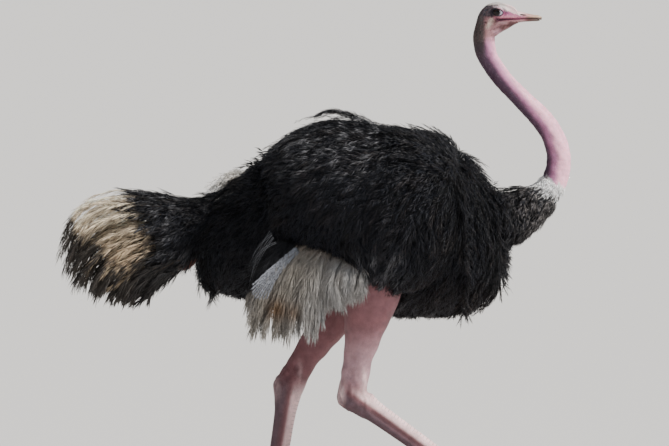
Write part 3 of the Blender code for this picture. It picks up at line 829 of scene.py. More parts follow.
def add_paint(mesh, colours):
    """A colour for each point of a mesh."""
    made = mesh.attributes.new("paint", "FLOAT_COLOR", "POINT")
    full = np.concatenate([np.clip(colours, 0, 1), np.ones((len(colours), 1))], axis=1)
    made.data.foreach_set("color", full.astype(np.float32).ravel())


def plain_shader(name, roughness, **sockets):
    """A new material's node tree, its Principled shader and that shader's fixed values."""
    made = bpy.data.materials.new(name)
    made.use_nodes = True
    shader = made.node_tree.nodes["Principled BSDF"]
    shader.inputs["Roughness"].default_value = roughness
    for socket, value in sockets.items():
        shader.inputs[socket.replace("_", " ")].default_value = value
    return made, made.node_tree, shader


def node(tree, kind, *sources, **settings):
    """A new node. A source goes to the input of its place, and a setting to the input or property of its
    name. A socket, or a node's first live output, is linked, and anything else is set as the value."""
    made = tree.nodes.new(kind)
    given = dict(enumerate(sources))
    for name, value in settings.items():
        if name in made.inputs:
            given[name] = value
        else:
            setattr(made, name, value)
    for place, value in given.items():
        if isinstance(value, bpy.types.Node):
            value = next(socket for socket in value.outputs if socket.enabled)
        if isinstance(value, bpy.types.NodeSocket):
            tree.links.new(value, made.inputs[place])
        else:
            made.inputs[place].default_value = value
    return made


def spread(tree, value, low, high, least=0.0, most=1.0):
    """The value carried from the span low to high over to the span least to most, and held at its ends."""
    spans = {"From Min": low, "From Max": high, "To Min": least, "To Max": most}
    return node(tree, "ShaderNodeMapRange", value, **spans)


def mesh_value(tree, name):
    """The numbers that a mesh holds under a name."""
    return node(tree, "ShaderNodeAttribute", attribute_name=name).outputs["Fac"]


def object_place(tree):
    """Places on the object itself, in metres."""
    return node(tree, "ShaderNodeTexCoord").outputs["Object"]


def paint_of(tree):
    """The colours that a mesh holds for its points."""
    return node(tree, "ShaderNodeAttribute", attribute_name="paint").outputs["Color"]


def coloured(tree, shader, colour, share):
    """The shader takes the colour times share."""
    tint = node(tree, "ShaderNodeVectorMath", colour, operation="SCALE", Scale=share)
    tree.links.new(tint.outputs["Vector"], shader.inputs["Base Color"])


def bumped(tree, shader, height, strength, depth):
    """The shader's surface seems raised by height times depth."""
    bump = node(tree, "ShaderNodeBump", Height=height, Strength=strength, Distance=depth)
    tree.links.new(bump.outputs["Normal"], shader.inputs["Normal"])


def skin_material():
    """Mottled thin skin with follicle bumps on the neck and a net of small scales on the legs."""
    made, tree, shader = plain_shader(
        "bare_skin", roughness=0.62, Subsurface_Weight=0.08, Subsurface_Scale=0.01, Specular_IOR_Level=0.25)
    place, scaly = object_place(tree), mesh_value(tree, "scaly")
    blotch = node(tree, "ShaderNodeTexNoise", place, Scale=38.0, Detail=6.0, Roughness=0.62)
    tone = spread(tree, blotch, 0.3, 0.7, 0.78, 1.2)
    cells = node(tree, "ShaderNodeTexVoronoi", place, Scale=215.0, feature="DISTANCE_TO_EDGE")
    net = spread(tree, cells, 0.0, 0.12, 0.72)
    # The plates' rows: a dark seam where the count of plates passes a whole number.
    part = node(tree, "ShaderNodeMath", mesh_value(tree, "scute_rows"), operation="FRACT")
    off_seam = node(tree, "ShaderNodeMath", part, 0.5, operation="PINGPONG")
    seam = spread(tree, off_seam, 0.0, 0.13, 0.45)
    scales = node(tree, "ShaderNodeMix", data_type="FLOAT", Factor=mesh_value(tree, "plated"), A=net, B=seam)
    crack = node(tree, "ShaderNodeMix", data_type="FLOAT", Factor=scaly, A=1.0, B=scales)
    shade = node(tree, "ShaderNodeMath", tone, crack, operation="MULTIPLY")
    coloured(tree, shader, paint_of(tree), shade)
    pores = node(tree, "ShaderNodeTexVoronoi", place, Scale=330.0)
    fine = node(tree, "ShaderNodeTexNoise", place, Scale=240.0, Detail=4.0)
    soft = node(tree, "ShaderNodeMath", pores, -0.55, fine, operation="MULTIPLY_ADD")
    relief = node(tree, "ShaderNodeMix", data_type="FLOAT", Factor=scaly, A=soft, B=scales)
    bumped(tree, shader, relief, strength=0.6, depth=0.0012)
    return made


# Past the tail's root its shape runs straight on, so that plumes leave it without a bend.
TAIL_LINE_ROWS = np.vstack([TAIL_ROWS, 2.2 * TAIL_ROWS[-1] - 1.2 * TAIL_ROWS[-2]])
BODY_PARTS = [hull_part(TRUNK_ROWS, 0.0, COAT_DEPTH, KEEL)]
BODY_PARTS.append(hull_part(TAIL_LINE_ROWS, 0.0, TAIL_COAT_DEPTH, 0.0))
BODY_PARTS += [hull_part(WING_ROWS, way * WING_OUT, COAT_DEPTH, 0.0) for way in (LEFT, RIGHT)]
NECK_ROOT_LINE = along_rows(NECK_LINE[9:], np.linspace(0, 4, 60))
skin = flesh()
for way in (LEFT, RIGHT):
    eased(skin, KNUCKLE[way], radius=0.062, turns=6)
skin_points = positions(skin.data)
add_paint(skin.data, markings(skin_points))
legs_off = np.minimum(leg_distance(skin_points, LEFT), leg_distance(skin_points, RIGHT))
add_numbers(skin.data, "scaly", until(skin_points[:, 2], 0.6, 0.72) * until(legs_off, 0.24, 0.26))
normals = np.empty(len(skin_points) * 3, np.float32)
skin.data.vertex_normals.foreach_get("vector", normals)
plate_rows, plated = scutes(skin_points, normals.reshape(-1, 3).astype(float))
add_numbers(skin.data, "scute_rows", plate_rows)
add_numbers(skin.data, "plated", plated)
skin.data.materials.clear()
skin.data.materials.append(skin_material())
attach(skin, "root")
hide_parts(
    "head", "neck_upper", "neck_middle", "neck_lower", "trunk",
    "drumstick_left", "drumstick_right", "shank_left", "shank_right",
    "toe_main_left", "toe_main_right", "toe_side_left", "toe_side_right",
)

# --- Eyes ---
# Large dark balls deep in the head, with a clear bulging front, dark brown iris and wet lids around them.
# Each is turned from rings round its line of sight, and its lids hold it.

EYE_RING = 56
# A pale crescent of painted reflection in the eye's front corner.
EYE_PAINTED_REFLECTION = (0.36, 0.33, 0.39, 1.0)


def eyeball(way):
    """Rings round the line of sight: at angle t from it a point is the radius from the middle, and a little
    more towards the front, where the clear part bulges."""
    t = np.linspace(0.06, math.pi - 0.3, 40)
    turn, _ = around(EYE_RING)
    reach = EYE_RADIUS - 0.0004 + 0.0007 * hump(t, 0, 0.45)
    x = EYE[0] + np.outer(reach * np.sin(t), np.cos(turn))
    z = EYE[2] + np.outer(reach * np.sin(t), np.sin(turn))
    return xyz(x, way * (EYE[1] + reach * np.cos(t))[:, None], z)


def colour_steps(tree, value, *steps):
    """Colours at their places along a value, and mixed between them."""
    made = node(tree, "ShaderNodeValToRGB", value)
    marks = made.color_ramp.elements
    marks[0].position, marks[1].position = steps[0][0], steps[-1][0]
    for place, _ in steps[1:-1]:
        marks.new(place)
    for mark, (_, colour) in zip(marks, steps):
        mark.color = (*colour, 1)
    return made


def eye_material():
    """Black pupil, dark brown iris with fine spokes, and a darker rim, under a clear wet coat, with a pale
    crescent of painted reflection in the front corner.
    """
    made, tree, shader = plain_shader(
        "eye_surface", roughness=0.3, Coat_Weight=0.75, Coat_Roughness=0.03, Coat_IOR=1.36,
        Specular_IOR_Level=0.0)
    place = object_place(tree)
    middle = (-EYE[0], 0.0, -EYE[2])
    flat = node(tree, "ShaderNodeVectorMath", place, (1.0, 0.0, 1.0), middle, operation="MULTIPLY_ADD")
    reach = node(tree, "ShaderNodeVectorMath", flat, operation="LENGTH")
    spokes = node(tree, "ShaderNodeTexNoise", place, Scale=900.0, Detail=3.0)
    wave = node(tree, "ShaderNodeMath", spokes, 0.0012, reach, operation="MULTIPLY_ADD")
    iris = colour_steps(
        tree, spread(tree, wave, 0.0, EYE_RADIUS),
        (0.33, (0.002, 0.002, 0.002)), (0.37, (0.02, 0.01, 0.006)), (0.55, (0.014, 0.007, 0.004)),
        (0.62, (0.004, 0.003, 0.003)), (0.8, (0.016, 0.012, 0.012)))
    # A pale crescent in the front corner is a painted reflection, drawn as a third lid.
    parts = node(tree, "ShaderNodeSeparateXYZ", flat)
    up = parts.outputs["Z"]
    bulge = node(tree, "ShaderNodeMath", up, up, operation="MULTIPLY")
    edge = node(tree, "ShaderNodeMath", bulge, 45.0, parts.outputs["X"], operation="MULTIPLY_ADD")
    reflection_share = spread(tree, edge, 0.008, 0.0135)
    corner = node(tree, "ShaderNodeMix", data_type="RGBA", Factor=reflection_share, A=iris, B=EYE_PAINTED_REFLECTION)
    tree.links.new(corner.outputs["Result"], shader.inputs["Base Color"])
    return made


eye_finish = eye_material()
for way, side in SIDES:
    eye = shell("eyeball_" + side, eyeball(way))
    eye.data.materials.append(eye_finish)
    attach(eye, "root")
    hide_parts("eye_" + side)

# --- Bill ---
# A broad flat horny bill in two halves, with a raised ridge plate, nostrils in grooves and a rounded nail.
# Each half is a sheath of horn on its jawbone, and its root lies under the skin of the face.

UPPER_BILL_ROWS = np.array([
    (0.5080, 1.8480, 0.5080, 1.8236, 0.0246),
    (0.5175, 1.8510, 0.5175, 1.8236, 0.0250),
    (0.5240, 1.8496, 0.5240, 1.8238, 0.0243),
    (0.5360, 1.8462, 0.5360, 1.8243, 0.0226),
    (0.5510, 1.8416, 0.5510, 1.8250, 0.0208),
    (0.5700, 1.8380, 0.5700, 1.8252, 0.0184),
    (0.5860, 1.8356, 0.5860, 1.8240, 0.0147),
    (0.5955, 1.8330, 0.5955, 1.8208, 0.0104),
    (0.5998, 1.8294, 0.5992, 1.8214, 0.0050),
])
LOWER_BILL_ROWS = np.array([
    (0.5080, 1.8225, 0.5080, 1.8122, 0.0195),
    (0.5175, 1.8236, 0.5175, 1.8117, 0.0232),
    (0.5240, 1.8239, 0.5240, 1.8120, 0.0242),
    (0.5400, 1.8245, 0.5400, 1.8140, 0.0221),
    (0.5650, 1.8256, 0.5650, 1.8155, 0.0190),
    (0.5830, 1.8249, 0.5830, 1.8163, 0.0140),
    (0.5922, 1.8216, 0.5920, 1.8176, 0.0066),
])
UPPER_BILL_RING = 120
LOWER_BILL_RING = 60
NOSTRIL = (0.535, 1.8386)
NOSTRIL_REACH = (0.0122, 0.0025)
BILL_ROOT = (0.52, 0.255, 0.235)
BILL_TIP = (0.5, 0.345, 0.235)
# The lower half is painted dark, as shade under the head.
LOWER_BILL_SHADE_ROOT = (0.105, 0.028, 0.028)
LOWER_BILL_SHADE_TIP = (0.06, 0.034, 0.02)
# Painted shade for the lower side of the upper half.
BILL_SIDE_SHADE_ROOT = (0.26, 0.07, 0.09)
BILL_SIDE_SHADE_TIP = (0.07, 0.04, 0.024)
# Painted shade along the mouth, between the bill's halves.
BILL_MOUTH_SHADE = (0.04, 0.01, 0.012)
# Painted shade in the nostril's pit.
NOSTRIL_SHADE = (0.022, 0.006, 0.008)


def off_nostril(x, z):
    """Distance from the middle of the nostril's slanted oval, counted so that its edge is at 1."""
    along = x - NOSTRIL[0]
    return np.hypot(along / NOSTRIL_REACH[0], (z - NOSTRIL[1] + 0.1 * along) / NOSTRIL_REACH[1])


def flat_mouth(rings, top):
    """The half's rings with sharp edges at the mouth: on the side away from top, widths that closed as the
    2.5th power of the share of height close as its 7th."""
    high, low = (edge(rings[..., 2], axis=1)[:, None] for edge in (np.max, np.min))
    middle, reach = (high + low) / 2, (high - low) / 2
    share = np.clip(-top * (rings[..., 2] - middle) / reach, 0, 0.995)
    rings[..., 1] *= (1 - share**7) ** (1 / 7) / (1 - share**2.5) ** 0.4
    return rings


def upper_bill():
    """Rings with a plate along the ridge, a groove beside it and the nostril's oval pit in the groove."""
    places = np.linspace(0, 8, 140)
    rings = flat_mouth(rings_between(UPPER_BILL_ROWS, places, UPPER_BILL_RING, squareness=2.5), 1)
    _, off_top = around(UPPER_BILL_RING)
    length = window(places, 1.6, 2.3, 5.6, 6.8)[:, None]
    amount = length * (0.0008 * hump(off_top, 0, 0.34) - 0.0011 * hump(off_top, 0.82, 0.2))
    pit = off_nostril(rings[..., 0], rings[..., 2])
    amount -= 0.004 * until(pit, 0.55, 1.05) * (off_top > 0.4)
    amount += 0.0006 * hump(pit, 1.35, 0.25) * (off_top > 0.4)
    amount += 0.0006 * ramp(places, 5.4, 6.0)[:, None] * until(off_top, 1.2, 1.7)
    return swell(rings, amount)


def lower_bill():
    """Rings with a shallow groove along each side of the chin."""
    places = np.linspace(0, 6, 76)
    rings = flat_mouth(rings_between(LOWER_BILL_ROWS, places, LOWER_BILL_RING, squareness=2.5), -1)
    turn, _ = around(LOWER_BILL_RING)
    groove = -0.0007 * hump(np.abs(turn - math.pi), 0.75, 0.2) * until(places, 3.8, 4.6)[:, None]
    return swell(rings, groove)


def bill_colours(points, lower):
    """The face's own colours at the root, then pink horn that turns tan above and brown at the tip, with
    painted shade on the upper half's lower side, along the mouth and in the nostril; the lower half, facing
    down, is painted a dark reddish brown as shade."""
    x, z = points[..., 0], points[..., 2]
    root = BILL_ROOT if not lower else LOWER_BILL_SHADE_ROOT
    tip = BILL_TIP if not lower else LOWER_BILL_SHADE_TIP
    colour = mixed(root, tip, ramp(x, 0.535, 0.59))
    if not lower:
        # Painted shade on the upper half's side below the ridge.
        side = until(z - 0.06 * (0.6 - x), 1.8268, 1.8305)
        dark = mixed(BILL_SIDE_SHADE_ROOT, BILL_SIDE_SHADE_TIP, ramp(x, 0.532, 0.56))
        colour = mixed(colour, dark, side * 0.9)
    # Painted shade along the mouth line between the halves.
    colour = mixed(colour, BILL_MOUTH_SHADE, hump(z, mouth_height(x) - 0.0006, 0.002) * 0.9)
    colour = mixed(markings(points), colour, ramp(x, 0.528, 0.556))
    # Painted shade in the nostril.
    return mixed(colour, NOSTRIL_SHADE, until(off_nostril(x, z), 0.75, 1.15))


def long_grain(tree, stretch, detail):
    """Noise of places that are multiplied by stretch, so that it is drawn out along the axis with the
    least."""
    drawn = node(tree, "ShaderNodeMapping", object_place(tree), Scale=stretch)
    return node(tree, "ShaderNodeTexNoise", drawn, Scale=1.0, Detail=detail)


def bill_material():
    """Satin horn with fine lengthwise grain."""
    made, tree, shader = plain_shader("bill_surface", roughness=0.4, Coat_Weight=0.1, Coat_Roughness=0.25)
    grain = long_grain(tree, stretch=(60.0, 420.0, 420.0), detail=5.0)
    coloured(tree, shader, paint_of(tree), spread(tree, grain, 0.3, 0.7, 0.8, 1.18))
    bumped(tree, shader, grain, strength=0.3, depth=0.0004)
    return made


bill_finish = bill_material()
for name, rings, lower in (("upper", upper_bill(), False), ("lower", lower_bill(), True)):
    bill = shell("bill_sheath_" + name, rings)
    add_paint(bill.data, bill_colours(positions(bill.data), lower))
    bill.data.materials.append(bill_finish)
    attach(bill, "root")
    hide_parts("bill_" + name)

# --- Claws ---
# Blunt horny nails, a long heavy one on each main toe and a small one on each side toe.
# Each grows out of its toe's end and follows the toe's splay, pitch and curl.

MAIN_CLAW_ROWS = np.array([
    (0.160, 0.032, 0.160, 0.012, 0.0105),
    (0.178, 0.0325, 0.178, 0.0085, 0.0130),
    (0.192, 0.0295, 0.193, 0.0065, 0.0125),
    (0.208, 0.0225, 0.210, 0.0045, 0.0100),
    (0.222, 0.0130, 0.224, 0.0035, 0.0062),
    (0.2285, 0.0075, 0.2290, 0.0040, 0.0025),
])
SIDE_CLAW_ROWS = np.array([
    (0.100, 0.0235, 0.100, 0.0110, 0.0055),
    (0.110, 0.0235, 0.110, 0.0095, 0.0066),
    (0.119, 0.0190, 0.120, 0.0080, 0.0054),
    (0.127, 0.0125, 0.127, 0.0070, 0.0033),
    (0.1298, 0.0098, 0.1299, 0.0075, 0.0014),
])


def claw_material():
    """Dark brown horn, paler and rubbed towards the tip, with lengthwise fibres."""
    made, tree, shader = plain_shader("claw_surface", roughness=0.42)
    grain = long_grain(tree, stretch=(90.0, 600.0, 220.0), detail=6.0)
    horn = colour_steps(tree, grain, (0.3, (0.04, 0.03, 0.026)), (0.75, (0.17, 0.125, 0.095)))
    tree.links.new(horn.outputs["Color"], shader.inputs["Base Color"])
    bumped(tree, shader, grain, strength=0.5, depth=0.0006)
    return made


claw_finish = claw_material()
for way, side in SIDES:
    for kind, rows, toe in (("main", MAIN_CLAW_ROWS, MAIN_TOE), ("side", SIDE_CLAW_ROWS, SIDE_TOE)):
        nail = rings_between(rows, np.linspace(0, len(rows) - 1, 36), sides=28, squareness=2.3)
        nail = bent_foot(nail, way, toe)
        if way == LEFT:
            nail[..., 2] = np.maximum(nail[..., 2], SOLE)
        claw = shell("nail_" + kind + "_" + side, nail)
        claw.data.materials.append(claw_finish)
        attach(claw, "root")
        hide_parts("claw_" + kind + "_" + side)

# --- Body plumage ---
# Loose black plumes over breast, back, flanks and rump. Each has a bent spine that lies along the body, and
# soft free barbs on both sides of it, every one a closed lock of down with a pointed end.


def even_roots(piece, spacing, seed):
    """Places and outward ways spread evenly over a mesh: random points on its triangles, as many as their
    area asks, thinned to one in each cube of a grid as wide as the spacing."""
    chance = np.random.default_rng(seed)
    mesh = piece.data
    mesh.calc_loop_triangles()
    corners = np.empty(len(mesh.loop_triangles) * 3, np.int32)
    mesh.loop_triangles.foreach_get("vertices", corners)
    corners = positions(mesh)[corners.reshape(-1, 3)]
    square = np.cross(corners[:, 1] - corners[:, 0], corners[:, 2] - corners[:, 0])
    area = np.linalg.norm(square, axis=1)
    sums = np.cumsum(area)
    tries = int(1.6 * sums[-1] / spacing**2)
    on = np.searchsorted(sums, chance.random(tries) * sums[-1])
    a, b = chance.random((2, tries, 1))
    a, b = np.where(a + b > 1, 1 - a, a), np.where(a + b > 1, 1 - b, b)
    places = corners[on, 0] * (1 - a - b) + corners[on, 1] * a + corners[on, 2] * b
    cubes = np.floor(places / spacing).astype(int)
    kept = np.unique(cubes, axis=0, return_index=True)[1]
    kept.sort()
    return places[kept], square[on[kept]] / area[on[kept], None]


def across(ways, out):
    """Ways brought square to the outward ones and to length one."""
    return unit(ways - (ways * out).sum(-1, keepdims=True) * out)


def lie(points):
    """Which way the plumes lie: backward on the back, more and more downward towards the belly and on the
    breast, shallow on the rump, and down the neck on its root."""
    x, y, z = points[..., 0], points[..., 1], points[..., 2]
    fall = 10 + 68 * ramp(-z, -1.42, -1.08)
    rump = 18 + 44 * ramp(-z, -1.16, -0.94)
    fall = fall + (rump - fall) * ramp(-x, 0.15, 0.42)
    fall = fall + (80 - fall) * ramp(x, 0.2, 0.36) * ramp(-z, -1.42, -1.36)
    fall = np.radians(fall + 14 * ripple(points * (1, 1, 0.7), 0.16, 21))
    way = xyz(-np.cos(fall), 0.1 * np.sign(y), -np.sin(fall))
    return unit(way + ramp(x, 0.42, 0.52)[..., None] * np.array([-0.3, 0.0, 0.1]))


def spines(roots, length, height, seed, wander=0.3, steps=7, flow=lie):
    """Each plume's middle line: steps along the flow, bent evenly to one side, each step then moved
    straight out of or back to the body so that the line rises from the skin to its own height by its
    tip."""
    chance = np.random.default_rng(seed)
    count = len(roots)
    bend = chance.normal(size=(count, 1)) * wander
    stray = chance.normal(size=(count, 3)) * 0.13
    at = roots.copy()
    line, outs = [], []
    for k in range(steps):
        off, out = off_body(at)
        share = k / (steps - 1)
        wanted = 0.002 + (height - 0.002) * share**0.7
        at = at + out * ((wanted - off) * np.where(off < wanted, 1.0, 0.6))[:, None]
        line.append(at)
        outs.append(out)
        way = across(flow(at) + stray, out)
        way = unit(way + np.cross(out, way) * bend * (share - 0.3))
        if k:
            way = unit(way + 0.8 * last)
        last = way
        at = at + way * (length / (steps - 1))[:, None]
    return np.stack(line, axis=1), np.stack(outs, axis=1)


def along_spines(line, share):
    """Points of the spines at shares of their length, straight between their joints, with the ways
    there."""
    steps = line.shape[1] - 1
    i = np.minimum((share * steps).astype(int), steps - 1)[..., None]
    s = share[..., None] * steps - i
    start, end = (np.take_along_axis(line, i + k, axis=1) for k in (0, 1))
    return start + (end - start) * s, unit(end - start)


def barbs(line, outs, count, reach, spread, droop, seed, first=0.05, joints=1, stand=0.1, loose=0.2):
    """Barbs on both sides of the spines. A barb leaves its spine at an angle that narrows from the root to
    the tip, then at each joint turns part of the way towards the spine's own way and down; it is longest at
    a third of the spine. Returns each barb's points, its outward way, the spine it grows on and its share
    of that."""
    chance = np.random.default_rng(seed)
    size = (len(line), count)
    share = first + (0.995 - first) * (np.arange(count) + chance.random(size)) / count
    at, ahead = along_spines(line, share)
    out = across(along_spines(outs, share)[0], ahead)
    side = chance.choice([-1.0, 1.0], (*size, 1))
    angle = (spread[0] + (spread[1] - spread[0]) * share)[..., None] * chance.uniform(0.35, 1.35, (*size, 1))
    lift = chance.normal(size=(*size, 1)) * stand
    way = unit(np.cos(angle) * ahead + side * np.sin(angle) * np.cross(out, ahead) + lift * out)
    goal = unit(ahead + droop * np.array([0.0, 0.0, -1.0]) + chance.normal(size=(*size, 3)) * loose)
    full = (np.sqrt(np.clip(1 - (share - 0.35) ** 2 / 0.75, 0, 1)) * reach)[..., None]
    full = full * chance.uniform(0.55, 1.2, (*size, 1))
    points = [at]
    for _ in range(joints + 1):
        at = at + way * full / (joints + 1)
        points.append(at)
        way = unit(way + goal * (1.1 / joints))
    owner = np.repeat(np.arange(len(line)), count)
    points = np.stack(points, axis=2).reshape(-1, joints + 2, 3)
    return points, out.reshape(-1, 3), owner, share.ravel()


def unwrapped(roots):
    """Places on a flat unwrap of a body part: across it the length along its longest side, and up it the
    angle round a line through its middle along that side, both from 0.02 to 0.98."""
    low, high = roots.min(axis=0), roots.max(axis=0)
    longest = int(np.argmax(high - low))
    others = [k for k in (0, 1, 2) if k != longest]
    middle = (low + high)[others] / 2
    angle = np.arctan2(roots[:, others[1]] - middle[1], roots[:, others[0]] - middle[0])
    u = (roots[:, longest] - low[longest]) / (high - low)[longest]
    return 0.02 + 0.96 * np.stack([u, 0.5 + angle / (2 * math.pi)], axis=1)


def add_bake_map(mesh, roots, sideways, lengthways, corners):
    """Gives each lock a patch 0.003 across at its root's place on the unwrap."""
    places = unwrapped(roots)[:, None] + 0.0015 * np.stack([sideways, lengthways], axis=1)
    layer = mesh.uv_layers.new(name="OFBake")
    layer.data.foreach_set("uv", places.reshape(-1, 2)[corners].astype(np.float32).ravel())


def joined_locks(name, points, out, width, colours, roots):
    """One mesh of closed locks, pointed at both ends, with a flat three-cornered ring at each joint
    between. points and colours hold one row for each end and joint."""
    count, rows = points.shape[:2]
    joints = rows - 2
    ahead = unit(points[:, 2:] - points[:, :-2])
    aside = unit(np.cross(out[:, None], ahead))
    over = np.cross(ahead, aside)
    half = width[:, None, None] / 2 * (1 - 0.25 * np.arange(joints) / max(joints, 2))[None, :, None]
    middle = points[:, 1:-1]
    rings = np.stack([middle + aside * half, middle + over * half * 0.7, middle - aside * half], axis=2)
    placed = np.concatenate([points[:, :1], rings.reshape(count, -1, 3), points[:, -1:]], axis=1)
    each = 3 * joints + 2
    ends, sizes = [0, 2, 1, 0, 3, 2, 0, 1, 3], [3, 3, 3]
    for j in range(joints - 1):
        i = 1 + 3 * j
        ends += [i, i + 1, i + 4, i + 3, i + 1, i + 2, i + 5, i + 4, i + 2, i, i + 3, i + 5]
        sizes += [4, 4, 4]
    i = each - 4
    ends += [i, i + 1, i + 3, i + 1, i + 2, i + 3, i + 2, i, i + 3]
    sizes += [3, 3, 3]
    corners = (np.arange(count)[:, None] * each + ends).ravel()
    mesh = bpy.data.meshes.new(name)
    fill_mesh(mesh, placed.reshape(-1, 3), corners, np.tile(sizes, count))
    add_paint(mesh, np.repeat(colours, [1] + [3] * joints + [1], axis=1).reshape(-1, 3))
    sideways = np.array([0] + [-1, 0, 1] * joints + [0])
    lengthways = np.repeat(np.linspace(-1, 1, rows), [1] + [3] * joints + [1])
    add_bake_map(mesh, roots, sideways, lengthways, corners)
    return add_object(name, mesh)


def plume_material(name, roughness, sheen, tint, specular=0.35):
    """Feather: the barbs' own colours, streaked finely, with a soft sheen at grazing light in the given
    tint, or in the barbs' own colours if there's none."""
    made, tree, shader = plain_shader(
        name, roughness, Sheen_Weight=sheen, Sheen_Roughness=0.45, Specular_IOR_Level=specular)
    paint = paint_of(tree)
    if tint:
        shader.inputs["Sheen Tint"].default_value = (*tint, 1)
    else:
        tree.links.new(paint, shader.inputs["Sheen Tint"])
    fine = node(tree, "ShaderNodeTexNoise", object_place(tree), Scale=260.0, Detail=2.0)
    coloured(tree, shader, paint, spread(tree, fine, 0.3, 0.7, 0.75, 1.25))
    return made


black_finish = plume_material(
    "black_plumes", roughness=0.42, sheen=0.05, tint=(0.5, 0.56, 0.78), specular=0.21)


def grown_locks(name, line, outs, count, reach, spread, droop, width, colour, seed, vary=1.0, **ways):
    """Barbs for the spines as one piece. colour gives each barb's colours along it from its points, its
    spine's number and its share, and whole plumes differ in tone as well as single barbs, by vary of the
    full range."""
    points, out, owner, share = barbs(line, outs, count, reach, spread, droop, seed, **ways)
    chance = np.random.default_rng(seed + 1)
    wide = width * chance.uniform(0.65, 1.3, len(points))
    tone = chance.uniform(0.75, 1.25, len(points)) * chance.uniform(0.75, 1.3, len(line))[owner]
    colours = colour(points, owner, share) * (1 + vary * (tone - 1))[:, None, None]
    return joined_locks(name, points, out, wide, colours, line[owner, 0])


def wing_valley(x, z):
    """The furrow between the shoulder's plumes and those of the wing behind it, where the plumes lie flatter
    and painted shade darkens them.
    """
    return hump(x - 0.078 + 0.1 * (1.35 - z), 0.0, 0.028) * ramp(z, 1.06, 1.22)


SOOT = (0.0034, 0.0036, 0.005)
FADED_BROWN = (0.018, 0.013, 0.01)
BREAST_GREY = (0.21, 0.19, 0.182)
# Grey of the painted highlights on the black plumes.
GLINT_GREY = (0.168, 0.166, 0.174)


def black_tones(seed, plumes):
    """Soot black, some plumes faded to brown, with painted highlights as grey tips in patches on the back,
    the wings' lower edges and the tail's root; each barb darker at its root, and painted shade darkest on the
    rump and in the furrow behind the shoulder."""
    chance = np.random.default_rng(seed)
    fade = chance.random(plumes) ** 3

    def colour(points, owner, share):
        x, z = points[..., 0], points[..., 2]
        curl = np.linspace(0, 1, points.shape[1])
        low = ramp(-z, -0.98, -0.86) * 0.35
        faded = np.clip(fade[owner][:, None] * 0.6 + low, 0, 1)
        # Painted shade darkens the rump and the furrow behind the shoulder.
        deep = window(-x, 0.26, 0.36, 0.56, 0.64)
        deep = np.maximum(deep, 0.9 * wing_valley(x, z))
        base = mixed(SOOT, FADED_BROWN, faded) * (1 - 0.55 * deep)[..., None]
        base = base * (0.5 + 0.75 * ramp(share, 0.1, 0.8))[:, None, None]
        # Painted highlights: grey glints on the barbs' tips, in patches.
        above = ramp(z, 1.22, 1.4) * (1 - 0.7 * ramp(x, 0.02, 0.09)) * until(x, 0.3, 0.42)
        above = above + 0.8 * until(z, 1.0, 1.06) * until(x, 0.05, 0.2)
        glints = 0.6 * ripple(points, 0.05, 35) + 0.6 * ripple(points * (0.4, 1, 0.8), 0.013, 36)
        glints = ramp(glints, 0.15, 0.75)
        above = np.clip(above + 0.7 * until(x, -0.66, -0.58), 0, 1)
        glints = glints * above * (1 - deep) * ramp(curl, -0.3, 0.5)
        streak = ramp(ripple(points * (0.6, 1, 1), 0.011, 37), -0.3, 0.7) * ramp(x, 0.44, 0.55)
        base = mixed(base, BREAST_GREY, streak * (0.35 + 0.5 * ramp(x, 0.5, 0.6)))
        return mixed(base, GLINT_GREY, glints * 0.8)

    return colour


def plume_roots(spacing, seed):
    """Even roots on the black-feathered parts, without the vent and the side of the tail's end, which is
    left to its long pale plumes."""
    roots, facing = even_roots(skin, spacing, seed)
    off, out = off_body(roots)
    below_collar = (roots - COLLAR_TOP) @ COLLAR_WAY
    kept = (off < 0.006) & ((roots[:, 0] < 0.45) | (below_collar > 0.05)) & (roots[:, 2] < 1.49)
    kept &= (np.linalg.norm(roots - VENT, axis=1) > 0.045)
    kept &= (roots[:, 0] > -0.5) | ((facing * out).sum(axis=1) > 0.4)
    return roots[kept & ((roots[:, 0] > -0.625) | (roots[:, 2] > 1.165))]


def plume_lines(roots, seed, long=0.125, flow=lie):
    """Spines short on the neck's root and breast and long on the rump and back, flat on the top of the back
    behind the shoulder and in the furrow, and fullest on top of the shoulder."""
    x, _, z = roots.T
    neck_share = ramp(x, 0.4, 0.54)
    size_share = 1 - 0.3 * ramp(x, 0.28, 0.42) - 0.38 * neck_share - 0.2 * ramp(-z, -0.98, -0.88)
    chance = np.random.default_rng(seed)
    length = long * size_share * chance.uniform(0.7, 1.3, len(roots))
    height = (0.0265 - 0.014 * neck_share) * chance.uniform(0.3, 1.0, len(roots))
    flat = ramp(z, 1.4, 1.45) * window(x, -0.22, -0.14, 0.06, 0.12)
    height *= 1 - 0.68 * np.maximum(flat, wing_valley(x, z))
    height *= 1 + 0.5 * hump(x, 0.3, 0.065) * ramp(z, 1.3, 1.35)
    return spines(roots, length, height, seed + 1, wander=0.42, flow=flow)


def crowding(places, points, size):
    """How many of the points share each place's cube, summed over two grids half a cube apart."""
    total = np.zeros(len(places), int)
    number = (1, 4096, 4096**2)  # makes one number of a cube's three
    for shift in (0.0, 0.5):
        asked, there = (np.floor(at / size + shift).astype(int) @ number for at in (places, points))
        cubes, many = np.unique(there, return_counts=True)
        slot = np.minimum(np.searchsorted(cubes, asked), len(cubes) - 1)
        total += np.where(cubes[slot] == asked, many[slot], 0)
    return total


BARBS = 29  # on each plume
ROOT_SPACING = 0.0215
FILL_SPACING = 0.016
RIDGE_SPACING = 0.018
roots = plume_roots(ROOT_SPACING, 41)
line, outs = plume_lines(roots, 42)
